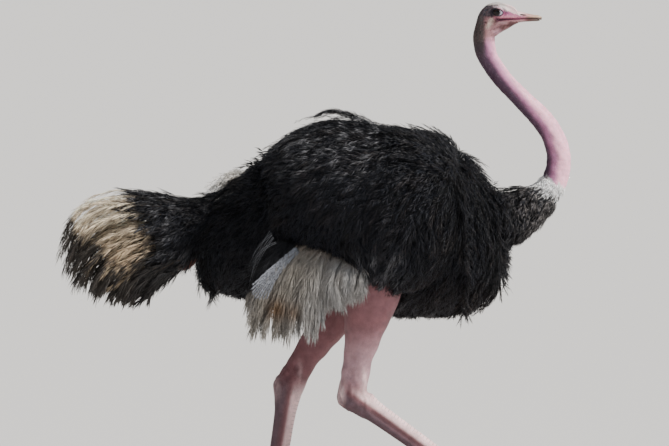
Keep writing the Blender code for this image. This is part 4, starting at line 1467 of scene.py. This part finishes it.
# Shorter plumes fill in wherever the others part, and cross the parting on top of each shoulder.
more = plume_roots(FILL_SPACING, 46)
more = more[(crowding(more, line.reshape(-1, 3), 0.04) < 13) & (more[:, 2] > 1.02)]
ridge = plume_roots(RIDGE_SPACING, 49)
ridge = ridge[np.hypot(ridge[:, 0] - 0.29, ridge[:, 2] - 1.34) < 0.045]
straight_back = np.array([-0.9, 0.0, 0.1])
filled = [(line, outs), plume_lines(more, 47, 0.085), plume_lines(ridge, 50, 0.1, lambda at: straight_back)]
roots = np.concatenate([roots, more, ridge])
line, outs = (np.concatenate(parts) for parts in zip(*filled))
x, y, z = roots.T
over_wing = np.minimum(*(share_out(roots, wing) for wing in BODY_PARTS[2:])) < 1.12
# Each group's plumes, how far its barbs reach, and the solids that it stands for.
groups = {
    "plumes_wing_left": (over_wing & (y > 0), 0.05, ("wing_left",)),
    "plumes_wing_right": (over_wing & (y < 0), 0.05, ("wing_right",)),
    "plumes_neck_root": (~over_wing & (x > 0.4), 0.032, ("neck_root",)),
    "plumes_breast": (~over_wing & (x <= 0.4) & (x > 0.1), 0.042, ()),
    "plumes_belly": (~over_wing & (x <= 0.1) & (x > -0.22), 0.045, ()),
    "plumes_rump": (~over_wing & (x <= -0.22) & (x > -0.52), 0.05, ()),
    "plumes_tail": (~over_wing & (x <= -0.52), 0.05, ("tail_coverts",)),
}
for number, (name, (chosen, reach, replaced)) in enumerate(groups.items()):
    picked = np.flatnonzero(chosen)
    grown = grown_locks(
        name, line[picked], outs[picked], BARBS, reach, spread=(0.85, 0.25), droop=0.25, width=0.003,
        colour=black_tones(50 + number, len(picked)), seed=60 + number)
    grown.data.materials.append(black_finish)
    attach(grown, "root")
    if replaced:
        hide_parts(*replaced)


# Loose plumes that the wind lifts off the top of the back.
def bent_lines(root, turn, tip, steps):
    """Plume lines that leave root, bend at turn and end at tip: the mean of the three with weights of the
    squared share left, twice the share times the share left, and the squared share."""
    t = np.linspace(0, 1, steps)[None, :, None]
    return root[:, None] * (1 - t) ** 2 + turn[:, None] * 2 * t * (1 - t) + tip[:, None] * t**2


WISPS = 24
WISP_BARBS = 80


def loose_lines(chance):
    """Every second line belongs to the raised curl on the right, and the others start on both sides of the
    back's top. All rise to a turn behind their root and droop to a tip behind that."""
    in_curl = np.arange(WISPS) % 2 == 0
    aside = np.where(np.arange(WISPS) % 3 == 1, 1.0, -1.0) * chance.uniform(0.13, 0.21, WISPS)
    aside = np.where(in_curl, -0.15, aside)
    ahead = np.where(in_curl, chance.uniform(0.035, 0.095, WISPS), chance.uniform(-0.02, 0.09, WISPS))
    root = xyz(ahead, aside, 1.435)
    lift = chance.uniform(0.3, 1.0, (WISPS, 1))
    turn = root + np.array([-0.085, 0.0, 0.065]) + np.array([-0.01, 0.0, 0.045]) * lift
    tip = root + np.array([-0.165, 0.0, 0.02]) + np.array([-0.06, 0.0, 0.03]) * lift
    curl_turn = np.array([-0.088, -0.15, 1.574]) - np.array([0.02, 0.0, 0.034]) * lift
    curl_tip = np.array([-0.14, -0.15, 1.51]) - np.array([0.034, 0.0, 0.012]) * lift
    turn = np.where(in_curl[:, None], curl_turn, turn)
    tip = np.where(in_curl[:, None], curl_tip, tip)
    turn[:, 1] += chance.normal(size=WISPS) * 0.008
    tip[:, 1] += chance.normal(size=WISPS) * 0.014
    return bent_lines(root, turn, tip, 10)


line = loose_lines(np.random.default_rng(75))
outs = np.full_like(line, (0.0, 0.0, 1.0))
wisps = grown_locks(
    "plumes_loose", line, outs, WISP_BARBS, reach=0.024, spread=(0.4, 0.1), droop=0.1, width=0.003,
    colour=black_tones(76, WISPS), seed=77, stand=0.25)
wisps.data.materials.append(black_finish)
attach(wisps, "root")

# --- White wing plumes ---
# The big soft flight plumes that hang from each folded wing: pale shafts with long loose barbs, creamy white,
# stained brown in two places, gathered into a few drooping bundles.


LINE_STEPS = 12  # points along each hanging plume's line


def between(ends, share):
    """Points on straight lines through the given places, evenly numbered from 0 to 1 by share."""
    ends = np.array(ends, float)
    places = np.linspace(0, 1, len(ends))
    return np.stack([np.interp(share, places, ends[:, k]) for k in range(ends.shape[1])], axis=1)


def gathered(share, bundles, spread_left):
    """Shares drawn towards the nearest of the bundles' places, to the given part of their distance from
    it."""
    nearest = bundles[np.argmin(np.abs(share[:, None] - bundles), axis=1)]
    return np.clip(nearest + (share - nearest) * spread_left, 0, 1)


def hanging_lines(root, turn, tip, stray_turn, stray_tip, sway_reach, chance):
    """Plume lines through root, turn and tip, which stray by chance, and sway as the sine of their length by
    more and more towards the tip."""
    turn = turn + chance.normal(size=turn.shape) * stray_turn
    tip = tip + chance.normal(size=tip.shape) * stray_tip
    along = np.linspace(0, 1, LINE_STEPS)
    sway = np.sin(along * chance.uniform(3, 7, (len(root), 1)) + chance.uniform(0, 6)) * along
    return bent_lines(root, turn, tip, LINE_STEPS) + sway[..., None] * np.array(sway_reach)


def shafts(name, line, outs, width, colour):
    """Shafts as thin closed three-sided rods along the lines, tapering to their tips."""
    count, steps = line.shape[:2]
    ahead = np.gradient(line, axis=1)
    aside = unit(np.cross(outs, ahead))
    over = unit(np.cross(ahead, aside))
    half = (width * (1 - 0.92 * np.linspace(0, 1, steps)) / 2)[:, None]
    rings = np.stack([line + aside * half, line + over * half, line - aside * half], axis=2)
    quads = ring_quads(steps, 3).ravel()
    last = 3 * (steps - 1)
    faces = np.concatenate([quads, [2, 1, 0, last, last + 1, last + 2]])
    corners = (np.arange(count)[:, None] * 3 * steps + faces).ravel()
    mesh = bpy.data.meshes.new(name)
    fill_mesh(mesh, rings.reshape(-1, 3), corners, np.tile([4] * (3 * (steps - 1)) + [3, 3], count))
    add_paint(mesh, np.tile(colour, (count * 3 * steps, 1)))
    lengthways = np.repeat(np.linspace(-1, 1, steps), 3)
    add_bake_map(mesh, line[:, 0], np.tile([-1, 0, 1], steps), lengthways, corners)
    return add_object(name, mesh)


WHITE_PLUMES = 64  # on each wing
WHITE_BARBS = 215
EDGE_BARBS = 190
INNER_LAYER = 0.235  # from the midplane to the innermost white plumes
LAYER_DEPTH = 0.072
WHITE_WISPS = 8
EDGE_ROOT = (-0.222, 0.25, 1.06)
EDGE_RUN = (-0.148, 0.074, -0.156)  # from its root to its tip
EDGE_BEND = (-0.01, 0.014, 0.014)  # how far its middle stands off a straight line
# The white edge feather is painted blue-grey, as painted shade.
EDGE_FEATHER_SHADE = (0.158, 0.165, 0.185)
WISP_SHAFT = (0.17, 0.175, 0.19)
CREAM = (0.214, 0.194, 0.168)
WHITEST = (0.3, 0.293, 0.291)
STREAK_GREY = (0.18, 0.165, 0.15)
STAIN_BROWN = (0.13, 0.064, 0.022)
ROOT_GREY = (0.17, 0.125, 0.095)
UNDER_BLACK = (0.006, 0.006, 0.008)
WHITE_ROOTS = [(-0.262, 1.1), (-0.175, 1.085), (-0.085, 1.05), (0.0, 1.0)]
WHITE_TURNS = [(-0.358, 1.005), (-0.262, 0.99), (-0.145, 0.972), (-0.006, 0.962)]
WHITE_TIPS = [(-0.384, 0.85), (-0.366, 0.768), (-0.3, 0.766), (-0.236, 0.764),
              (-0.176, 0.768), (-0.13, 0.864), (-0.07, 0.906), (0.008, 0.95)]
BUNDLES = np.array([0.1, 0.34, 0.56, 0.8])  # places along the tips where plumes gather
white_finish = plume_material("white_plumes", roughness=0.62, sheen=0.55, tint=None)


def white_tones(points, owner, share):
    """Creamy white, greyer at the root, whitest towards the front and at the tips, with two brown stains."""
    x, z = points[..., 0], points[..., 2]
    ahead = ramp(x + 0.5 * (0.9 - z), -0.26, -0.12)
    colour = mixed(CREAM, WHITEST, ahead * 0.8)
    colour = mixed(colour, STREAK_GREY, ripple(points * (1.0, 0.4, 0.35), 0.045, 31) * 0.3 + 0.25)
    stain = hump(x, -0.3, 0.034) * hump(z, 0.855, 0.036)
    stain = stain + 0.7 * hump(x, -0.24, 0.022) * hump(z, 0.842, 0.028)
    colour = mixed(colour, STAIN_BROWN, np.clip(stain, 0, 1) * 0.85)
    root_share = ramp(0.16 - share, 0, 0.12)[:, None] * 0.6 * np.ones(x.shape)
    colour = mixed(colour, ROOT_GREY, root_share)
    # Behind the edge feather the plumes are black.
    edge = z - 1.06 - 0.97 * (x + 0.232) + 0.006 * ripple(points, 0.02, 39)
    behind = ramp(edge, 0.0, 0.01) * (x > -0.42)
    return mixed(colour, UNDER_BLACK, behind * ramp(1.13 - z, 0.0, 0.01))


def wing_lines(way, chance):
    """Evenly spaced roots, turns and tips lie on three lines across the wing, in layers out from the body,
    and some plumes end early on their way from turn to tip."""
    share = (np.arange(WHITE_PLUMES) + chance.random(WHITE_PLUMES)) / WHITE_PLUMES
    layer = INNER_LAYER + LAYER_DEPTH * chance.permutation(np.linspace(0, 1, WHITE_PLUMES)) ** 0.6
    root = between(WHITE_ROOTS, share)
    turn = between(WHITE_TURNS, share)
    tip = between(WHITE_TIPS, gathered(share, BUNDLES, spread_left=0.72))
    root = np.insert(root, 1, way * (0.205 + 0.3 * (layer - INNER_LAYER)), axis=1)
    turn = np.insert(turn, 1, way * (layer + 0.01), axis=1)
    tip = np.insert(tip, 1, way * (layer - 0.006), axis=1)
    shorter = chance.uniform(0.0, 0.35, (WHITE_PLUMES, 1)) ** 1.5
    return hanging_lines(
        root, turn, tip + (turn - tip) * shorter, stray_turn=(0.014, 0.006, 0.012),
        stray_tip=(0.01, 0.006, 0.007), sway_reach=(0.006, 0.0, 0.0), chance=chance)


def edge_lines(way):
    """Nine lines of one closed feather along the rear edge. They fan out from its root to both sides of its
    middle line, and the outer ones are shorter by the square of their place."""
    mirror = np.array([1, way, 1])
    fan = np.linspace(-1, 1, 9)[:, None]
    start = mirror * EDGE_ROOT + fan * np.array([-0.006, 0.0, 0.006])
    end = start + mirror * EDGE_RUN * (1 - 0.11 * fan**2) + fan * np.array([-0.017, 0.0, 0.016])
    bow = (end - start)[:, [2, 1, 0]] * (1, 0, -1) * fan * -0.06
    return bent_lines(start, (start + end) / 2 + mirror * EDGE_BEND + bow, end, LINE_STEPS)


def wisp_lines(way, chance):
    """Loose strands that leave the wing's rear edge, bulge to the rear and hang to tips at chance
    heights."""
    low = chance.random(WHITE_WISPS) ** 1.5
    root = xyz(-0.322 + 0.03 * low, way * (0.27 + 0.03 * low), 1.125 - 0.06 * low)
    tip = xyz(-0.398 + 0.012 * chance.random(WHITE_WISPS), way * (0.26 + 0.03 * low),
              chance.uniform(0.86, 1.02, WHITE_WISPS))
    bulge = np.array([-0.034, way * 0.012, 0.02]) * chance.uniform(0.4, 1.3, (WHITE_WISPS, 1))
    return bent_lines(root, (root + tip) / 2 + bulge, tip, LINE_STEPS)


for way, side in SIDES:
    chance = np.random.default_rng(70)
    line = wing_lines(way, chance)
    outs = np.broadcast_to(unit(np.array([-0.1, way, 0.12])), line.shape)
    hanging = grown_locks(
        "white_plumes_" + side, line, outs, WHITE_BARBS, reach=0.07, spread=(0.6, 0.2), droop=1.0,
        width=0.0017, colour=white_tones, seed=71, vary=0.55, first=0.06, joints=2, stand=0.14, loose=0.3)
    closed = edge_lines(way)
    closed_out = np.broadcast_to(unit(np.array([-0.25, way, 0.2])), closed.shape)
    smooth = grown_locks(
        "white_edge_feather_" + side, closed, closed_out, EDGE_BARBS, reach=0.018, spread=(0.36, 0.28),
        # The feather's blue-grey is painted shade.
        droop=0.0, width=0.0023, colour=lambda points, owner, share: np.full_like(points, EDGE_FEATHER_SHADE),
        seed=73, first=0.02, stand=0.02, loose=0.04)
    wisps = wisp_lines(way, chance)
    wisp_outs = np.full_like(wisps, (0.0, way, 0.1))
    wisp_rods = shafts("white_wisps_" + side, wisps, wisp_outs, width=0.0009, colour=WISP_SHAFT)
    for piece in (hanging, smooth, wisp_rods):
        piece.data.materials.append(white_finish)
        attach(piece, "root")
    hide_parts("wing_quills_" + side)

# A few loose white plumes lie over the far side of the rump.
RUMP_PLUMES = 30
RUMP_BARBS = 60
RUMP_DARK = (0.016, 0.015, 0.018)
RUMP_GREY = (0.27, 0.25, 0.23)
RUMP_WHITE = (0.9, 0.87, 0.82)


def rump_lines(chance):
    """Lines from the rear of the back down over the far side of the rump, in an arch, and by chance a little
    lower or to one side."""
    down_side = np.sort(chance.random(RUMP_PLUMES)) ** 1.3
    late = chance.random((2, RUMP_PLUMES))
    start = xyz(-0.362 - 0.06 * late[0], 0.115 * down_side, 1.337 - 0.05 * late[0] - 0.05 * down_side)
    end = xyz(-0.545 + 0.075 * late[1], 0.16 * down_side - 0.045,
              1.256 + 0.042 * late[1] - 0.06 * down_side)
    lower = np.array([0.0, 0.0, -0.026]) * chance.random((RUMP_PLUMES, 1))
    start, end = start + lower, end + lower
    arch = np.array([0.0, 0.01, 0.021]) + chance.normal(size=(RUMP_PLUMES, 3)) * 0.007
    return bent_lines(start, (start + end) / 2 + arch, end, LINE_STEPS)


line = rump_lines(np.random.default_rng(79))
outs = np.broadcast_to(unit(np.array([-0.1, 0.5, 1.0])), line.shape)


def rump_tones(points, owner, share):
    """White along the top edge and at the curled tips, and streaked grey below."""
    x, z = points[..., 0], points[..., 2]
    streaks = ramp(ripple(points * (0.5, 1, 1), 0.012, 44), -0.2, 0.6)
    grey = mixed(RUMP_DARK, RUMP_GREY, streaks)
    edge = ramp(z - 0.46 * x + 0.06 * points[..., 1], 1.482, 1.496)
    return mixed(grey, RUMP_WHITE, np.maximum(edge, ramp(-x, 0.46, 0.505)))


stray = grown_locks(
    "white_rump_plumes", line, outs, RUMP_BARBS, reach=0.03, spread=(0.75, 0.35), droop=0.55, width=0.0024,
    colour=rump_tones, seed=78, joints=2, stand=0.35, loose=0.55)
stray.data.materials.append(white_finish)
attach(stray, "root")

# --- Tail plumes ---
# A drooping fountain of soft plumes at the end of the tail, black at the root, cream and tawny in the middle
# and blackish brown at the tips, which hang in pointed bundles.

TAIL_PLUMES = 150
TAIL_BARBS = 104
TAWNY = (0.62, 0.465, 0.3)
TOP_CREAM = (0.95, 0.83, 0.64)
TAN_STREAK = (0.12, 0.07, 0.04)
TAIL_ROOT_BLACK = (0.008, 0.008, 0.009)
TIP_BLACK = (0.011, 0.009, 0.009)
DARK_PLUME = (0.018, 0.014, 0.013)
SHAFT_BROWN = (0.1, 0.07, 0.05)
TAIL_ROOTS = [(-0.66, 1.222), (-0.64, 1.085), (-0.62, 0.975)]
TAIL_TURNS = [(-0.99, 1.305), (-0.93, 1.16), (-0.88, 1.055), (-0.8, 0.975), (-0.72, 0.935)]
TAIL_TIPS = [(-1.036, 1.05), (-1.012, 0.958), (-0.935, 0.903), (-0.85, 0.884), (-0.765, 0.89)]
TAIL_BUNDLES = np.array([0.02, 0.2, 0.38, 0.55, 0.72, 0.92])
tawny_finish = plume_material(
    "tawny_plumes", roughness=0.58, sheen=0.1, tint=(0.9, 0.85, 0.8), specular=0.25)


def tail_lines(chance):
    """As on the wing, with roots, turns and tips spread across the tail's end, where the outer and the upper
    plumes sag."""
    share = (np.arange(TAIL_PLUMES) + chance.random(TAIL_PLUMES)) / TAIL_PLUMES
    aside = chance.permutation(np.linspace(-1, 1, TAIL_PLUMES))
    aside = np.sign(aside) * np.abs(aside) ** 0.75
    root = np.insert(between(TAIL_ROOTS, share), 1, 0.1 * aside, axis=1)
    turn = np.insert(between(TAIL_TURNS, share), 1, 0.178 * aside, axis=1)
    tip = between(TAIL_TIPS, gathered(share, TAIL_BUNDLES, spread_left=0.55))
    tip = np.insert(tip, 1, 0.15 * aside, axis=1)
    sag = aside**2 * (1 - share)
    root[:, 2] -= 0.04 * sag
    turn[:, 2] -= 0.075 * sag
    turn[:, 0] += 0.03 * aside**2
    tip[:, 0] += 0.04 * aside**2
    shorter = chance.uniform(0.0, 0.6, (TAIL_PLUMES, 1)) ** 2
    return hanging_lines(
        root, turn, tip + (turn - tip) * shorter, stray_turn=(0.016, 0.012, 0.016),
        stray_tip=(0.01, 0.01, 0.01), sway_reach=(0.0054, 0.009, 0.0054), chance=chance)


chance = np.random.default_rng(80)
line = tail_lines(chance)
outs = unit(line - np.array([-0.8, 0.0, 1.02]))
tail_dark = chance.random(TAIL_PLUMES) < 0.12
tail_pale = chance.uniform(0.0, 1.0, TAIL_PLUMES)


def tawny_tones(points, owner, share):
    """Black up to a slanting line, then cream to tawny brown, palest on top, partly the plumes' own colour
    and partly a painted highlight where light falls from above, then blackish tips under a line that falls
    from the rear edge, with pale plumes that run on through the dark ones and some all dark."""
    x, z = points[..., 0], points[..., 2]
    pale = tail_pale[owner][:, None]
    # Paler with height: partly own colour, partly painted highlight from above.
    height = 0.15 + 0.7 * ramp(z, 1.0, 1.2)
    tan = mixed(TAWNY, TOP_CREAM, np.clip(height + 0.45 * (pale - 0.5), 0, 1))
    tan = mixed(tan, TAN_STREAK, np.clip(ripple(points, 0.026, 34) + 0.1, 0, 1) * 0.7)
    wave = 0.016 * ripple(points, 0.028, 38) + 0.03 * (pale - 0.5)
    root_edge = -0.798 + 0.075 * ramp(-z, -1.22, -1.07) - 0.055 * ramp(-z, -1.04, -0.93)
    colour = mixed(TAIL_ROOT_BLACK, tan, ramp(root_edge + wave - x, -0.012, 0.03))
    tip_edge = 1.232 - 0.15 * ramp(x, -1.035, -0.955) - 0.1 * ramp(x, -0.915, -0.86)
    tip_edge = tip_edge + 0.06 * ramp(x, -0.8, -0.74)
    dark = until(z + 1.4 * wave + 0.085 * (pale > 0.88), tip_edge - 0.02, tip_edge + 0.02)
    colour = mixed(colour, TIP_BLACK, dark * 0.97)
    return mixed(colour, DARK_PLUME, tail_dark[owner][:, None] * np.ones(z.shape) * 0.95)


fountain = grown_locks(
    "tail_plumes_soft", line, outs, TAIL_BARBS, reach=0.064, spread=(0.42, 0.1), droop=0.62, width=0.0029,
    colour=tawny_tones, seed=81, first=0.02, joints=2, stand=0.18, loose=0.16)
tail_rods = shafts("tail_shafts", line, outs, width=0.002, colour=SHAFT_BROWN)
for piece in (fountain, tail_rods):
    piece.data.materials.append(tawny_finish)
    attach(piece, "root")
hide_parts("tail_plumes")

# --- White collar ---
# A ring of short white feathers where the bare neck meets the plumage, ragged at its lower edge, where the
# white runs out in streaks over mottled grey ones.


def tufts(name, roots, outs, ways, length, width, rise, curl, colours, seed):
    """Single locks on the skin. Each leaves its root at the angle rise from the surface, along its way, and
    bends back to the surface by curl of its length."""
    chance = np.random.default_rng(seed)
    ways = across(ways + chance.normal(size=roots.shape) * 0.14, outs)
    rise = (rise * chance.uniform(0.5, 1.5, len(roots)))[:, None]
    length = (length * chance.uniform(0.65, 1.25, len(roots)))[:, None]
    start = roots - outs * 0.0012
    first_way = ways * np.cos(rise) + outs * np.sin(rise)
    bend = start + first_way * length * 0.5
    tip = bend + unit(first_way - outs * curl + chance.normal(size=roots.shape) * 0.06) * length * 0.5
    wide = width * chance.uniform(0.7, 1.3, len(roots))
    tone = chance.uniform(0.78, 1.22, (len(roots), 1, 1))
    return joined_locks(name, np.stack([start, bend, tip], axis=1), outs, wide, colours * tone, roots)


def down_the_neck(points):
    """The way down the neck's line at the nearest of its points."""
    line = along_rows(NECK_LINE, np.linspace(0, len(NECK_LINE) - 1, 160))
    line = np.insert(line[:, :2], 1, 0.0, axis=1)
    ways = unit(np.gradient(line, axis=0))
    apart = points[:, None, [0, 2]] - line[:, [0, 2]]
    return ways[np.argmin(np.linalg.norm(apart, axis=-1), axis=1)]


COLLAR_SPACING = 0.0042
roots, outs = even_roots(skin, COLLAR_SPACING, 90)
below = (roots - COLLAR_TOP) @ COLLAR_WAY
chosen = (roots[:, 0] > 0.4) & (roots[:, 2] < 1.4) & (below > -0.006) & (below < 0.075)
roots, outs, below = roots[chosen], outs[chosen], below[chosen]
streak = 0.016 * ripple(roots * (1, 1, 0.3), 0.013, 12)
streak = streak + 0.006 * np.random.default_rng(91).normal(size=len(roots))
white = until(below + streak, 0.03, 0.046)
mottle = ramp(ripple(roots * (1, 1, 0.4), 0.009, 13), 0.1, 0.7) * 0.8
grey = mixed((0.018, 0.017, 0.019), (0.3, 0.28, 0.27), mottle)
colour = mixed(grey, (0.88, 0.86, 0.85), white)
colour = np.stack([colour * 0.8, colour, colour * 1.1], axis=1)
collar = tufts("collar_feathers", roots, outs, down_the_neck(roots), length=0.021, width=0.003,
               rise=0.3, curl=0.35, colours=colour, seed=92)
collar.data.materials.append(white_finish)
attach(collar, "root")
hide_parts("neck_collar")

# --- Hair of the head and neck ---
# Fine down on the crown and cheeks, dark behind the eye and on the nape, sparse hairs down the bare neck, and
# the long stiff lashes of the upper lids.


def hair_lie(points):
    """Back over the crown, then down the nape and the neck, and down and back over the cheeks."""
    x, z = points[..., 0], points[..., 2]
    back = 1 - ramp(x, 0.37, 0.46) * ramp(z, 1.8, 1.86)
    way = xyz(-1.0 + 0.55 * back, 0.0, -0.25 - 0.9 * back)
    return np.where((z > 1.74)[:, None], way, down_the_neck(points))


DOWN_SPACING = 0.0022
HAIR_SPACING = 0.0052
roots, outs = even_roots(skin, DOWN_SPACING, 95)
x, z = roots[:, 0], roots[:, 2]
reach, over = eye_reach(x, z)
face = ramp(x, 0.452, 0.468) * until(z, 1.866, 1.872)
chosen = (z > 1.752) & (x < 0.512) & (x > 0.34) & (reach > 1.35) & (np.abs(roots[:, 1]) < 0.06)
chosen &= np.random.default_rng(96).random(len(roots)) > 0.96 * face
roots, outs = roots[chosen], outs[chosen]
thin = ramp(roots[:, 0], 0.44, 0.48)
colour = markings(roots)
lighter = colour * 1.25 + 0.02
colour = np.stack([colour, colour * 1.1, lighter], axis=1)
down = tufts("head_down_hair", roots, outs, hair_lie(roots), length=0.0085 - 0.0045 * thin, width=0.00075,
             rise=0.32, curl=0.5, colours=colour, seed=97)

roots, outs = even_roots(skin, HAIR_SPACING, 98)
x, z = roots[:, 0], roots[:, 2]
below = (roots - COLLAR_TOP) @ COLLAR_WAY
chosen = (z > 1.24) & (z <= 1.755) & (x > 0.36) & (below < 0.0)
roots, outs = roots[chosen], outs[chosen]
pale = mixed(markings(roots) * 1.15, (0.6, 0.5, 0.48), np.full(len(roots), 0.3))
nape = ramp(roots[:, 2], 1.66, 1.75) * until(roots[:, 0], 0.375, 0.41)
pale = mixed(pale, (0.1, 0.085, 0.085), nape)
colour = np.stack([pale * 0.8, pale, pale], axis=1)
hairs = tufts("neck_hair", roots, outs, down_the_neck(roots), length=0.01, width=0.00038,
              rise=0.3, curl=0.5, colours=colour, seed=99)

down_finish = plume_material("head_down_finish", roughness=0.75, sheen=0.25, tint=(1.0, 0.95, 0.92))
for piece in (down, hairs):
    piece.data.materials.append(down_finish)
    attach(piece, "root")

# Lashes stand on the edge of the upper lid and sweep forward and out, the longest over the middle.
LASHES = 46
LASH_WIDTH = 0.00045
for way, side in SIDES:
    chance = np.random.default_rng(100)
    turn = np.linspace(math.radians(12), math.radians(172), LASHES) + chance.normal(size=LASHES) * 0.03
    x, z = lid_line(turn)
    start = xyz(x, way * (ball_reach(x, z) + 0.0008), z)
    fan = xyz(0.25 + 0.55 * np.cos(turn), way * 0.95, 0.15 + 0.35 * np.sin(turn))
    first_way = unit(fan + chance.normal(size=fan.shape) * 0.08)
    length = ((0.0075 + 0.0055 * np.sin(turn)) * chance.uniform(0.8, 1.15, LASHES))[:, None]
    bend = start + first_way * length * 0.5
    tip = bend + unit(first_way + np.array([0.1, 0.0, -0.45])) * length * 0.5
    black = np.full((LASHES, 3, 3), 0.011)
    lashes = joined_locks("lashes_" + side, np.stack([start, bend, tip], axis=1),
                          np.tile([0.0, 0.0, 1.0], (LASHES, 1)), np.full(LASHES, LASH_WIDTH), black, start)
    lashes.data.materials.append(black_finish)
    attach(lashes, "root")

# --- Base board ---
# A flat board of dark oiled oak, its grain running the length of the bird. It is the base's own solid, and
# carries the bird on its flat left foot.


def board_wood():
    """Long grain lines, darker pores and slow shifts of tone, under a thin satin oil."""
    made, tree, shader = plain_shader("oiled_oak", roughness=0.42, Coat_Weight=0.15, Coat_Roughness=0.3)
    long_way = node(tree, "ShaderNodeVectorMath", object_place(tree), (1.0, 16.0, 16.0), operation="MULTIPLY")
    grain = node(tree, "ShaderNodeTexNoise", long_way, Scale=5.0, Detail=8.0, Roughness=0.62)
    pores = node(tree, "ShaderNodeTexNoise", long_way, Scale=46.0, Detail=3.0)
    year_rings = colour_steps(
        tree, grain,
        (0.3, (0.052, 0.027, 0.013)), (0.48, (0.12, 0.066, 0.032)), (0.68, (0.19, 0.11, 0.056)))
    dark = spread(tree, pores, 0.36, 0.5, 0.62)
    coloured(tree, shader, year_rings, dark)
    bumped(tree, shader, dark, strength=0.3, depth=0.0006)
    return made


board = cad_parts["stand_base"]
board.data.materials.clear()
board.data.materials.append(board_wood())

# --- Studio ---
# A pale floor, and the camera on the bird's right side. A sun from ahead throws the shadows, and two square
# lamps and a pale sky fill them.

FLOOR_REACH = 120.0
FLOOR_RING = 96
FLOOR_COLOUR = (0.67, 0.66, 0.645, 1.0)
SUN_SIDE = (0.78, -0.22, 0.8)  # the way towards the sun
VIEW_LIFT = math.radians(3.5)
VIEW_DISTANCE = 25.0
VIEW_WIDTH = 2.2746  # what the frame spans at that distance
VIEW_AIM = Vector((-0.104, 0.0, 1.13))
FILM_WIDTH = 36.0


def floor():
    """A wide round sheet of floor."""
    turn, _ = around(FLOOR_RING)
    points = xyz(FLOOR_REACH * np.cos(turn), FLOOR_REACH * np.sin(turn), 0.0)
    mesh = bpy.data.meshes.new("floor")
    mesh.from_pydata(points.tolist(), [], [list(range(FLOOR_RING))])
    made, _, shader = plain_shader("floor_paint", roughness=0.85)
    shader.inputs["Base Color"].default_value = FLOOR_COLOUR
    mesh.materials.append(made)
    return add_object("floor", mesh)


def lamp(name, place, aim, size, power, colour):
    """A square soft lamp at place that faces aim."""
    data = bpy.data.lights.new(name, "AREA")
    data.shape = "SQUARE"
    data.size = size
    data.energy = power
    data.color = colour
    made = add_object(name, data)
    made.location = place
    way = Vector(aim) - Vector(place)
    made.rotation_euler = way.to_track_quat("-Z", "Y").to_euler()
    return made


floor()
key = bpy.data.lights.new("key", "SUN")
key.energy = 6.5
key.angle = math.radians(9)
key.color = (1.0, 0.965, 0.91)
key_lamp = add_object("key", key)
key_lamp.rotation_euler = (-Vector(SUN_SIDE)).to_track_quat("-Z", "Y").to_euler()
lamp("fill", place=(-2.5, -6.5, 2.6), aim=(-0.1, 0.0, 1.0), size=4.0, power=30, colour=(0.9, 0.95, 1.0))
lamp("front", place=(3.3, -2.3, 2.5), aim=(0.3, 0.0, 1.5), size=1.1, power=60, colour=(0.84, 0.92, 1.0))
world = bpy.data.worlds.new("studio")
world.use_nodes = True
world.node_tree.nodes["Background"].inputs["Color"].default_value = (0.88, 0.92, 1.0, 1.0)
world.node_tree.nodes["Background"].inputs["Strength"].default_value = 0.42
bpy.context.scene.world = world

lens = bpy.data.cameras.new("camera")
lens.sensor_width = FILM_WIDTH
lens.lens = FILM_WIDTH * VIEW_DISTANCE / VIEW_WIDTH
camera = add_object("camera", lens)
back = Vector((0.0, -math.cos(VIEW_LIFT), math.sin(VIEW_LIFT)))
camera.location = VIEW_AIM + back * VIEW_DISTANCE
camera.rotation_euler = (-back).to_track_quat("-Z", "Y").to_euler()
lens.clip_end = 400.0
bpy.context.scene.camera = camera
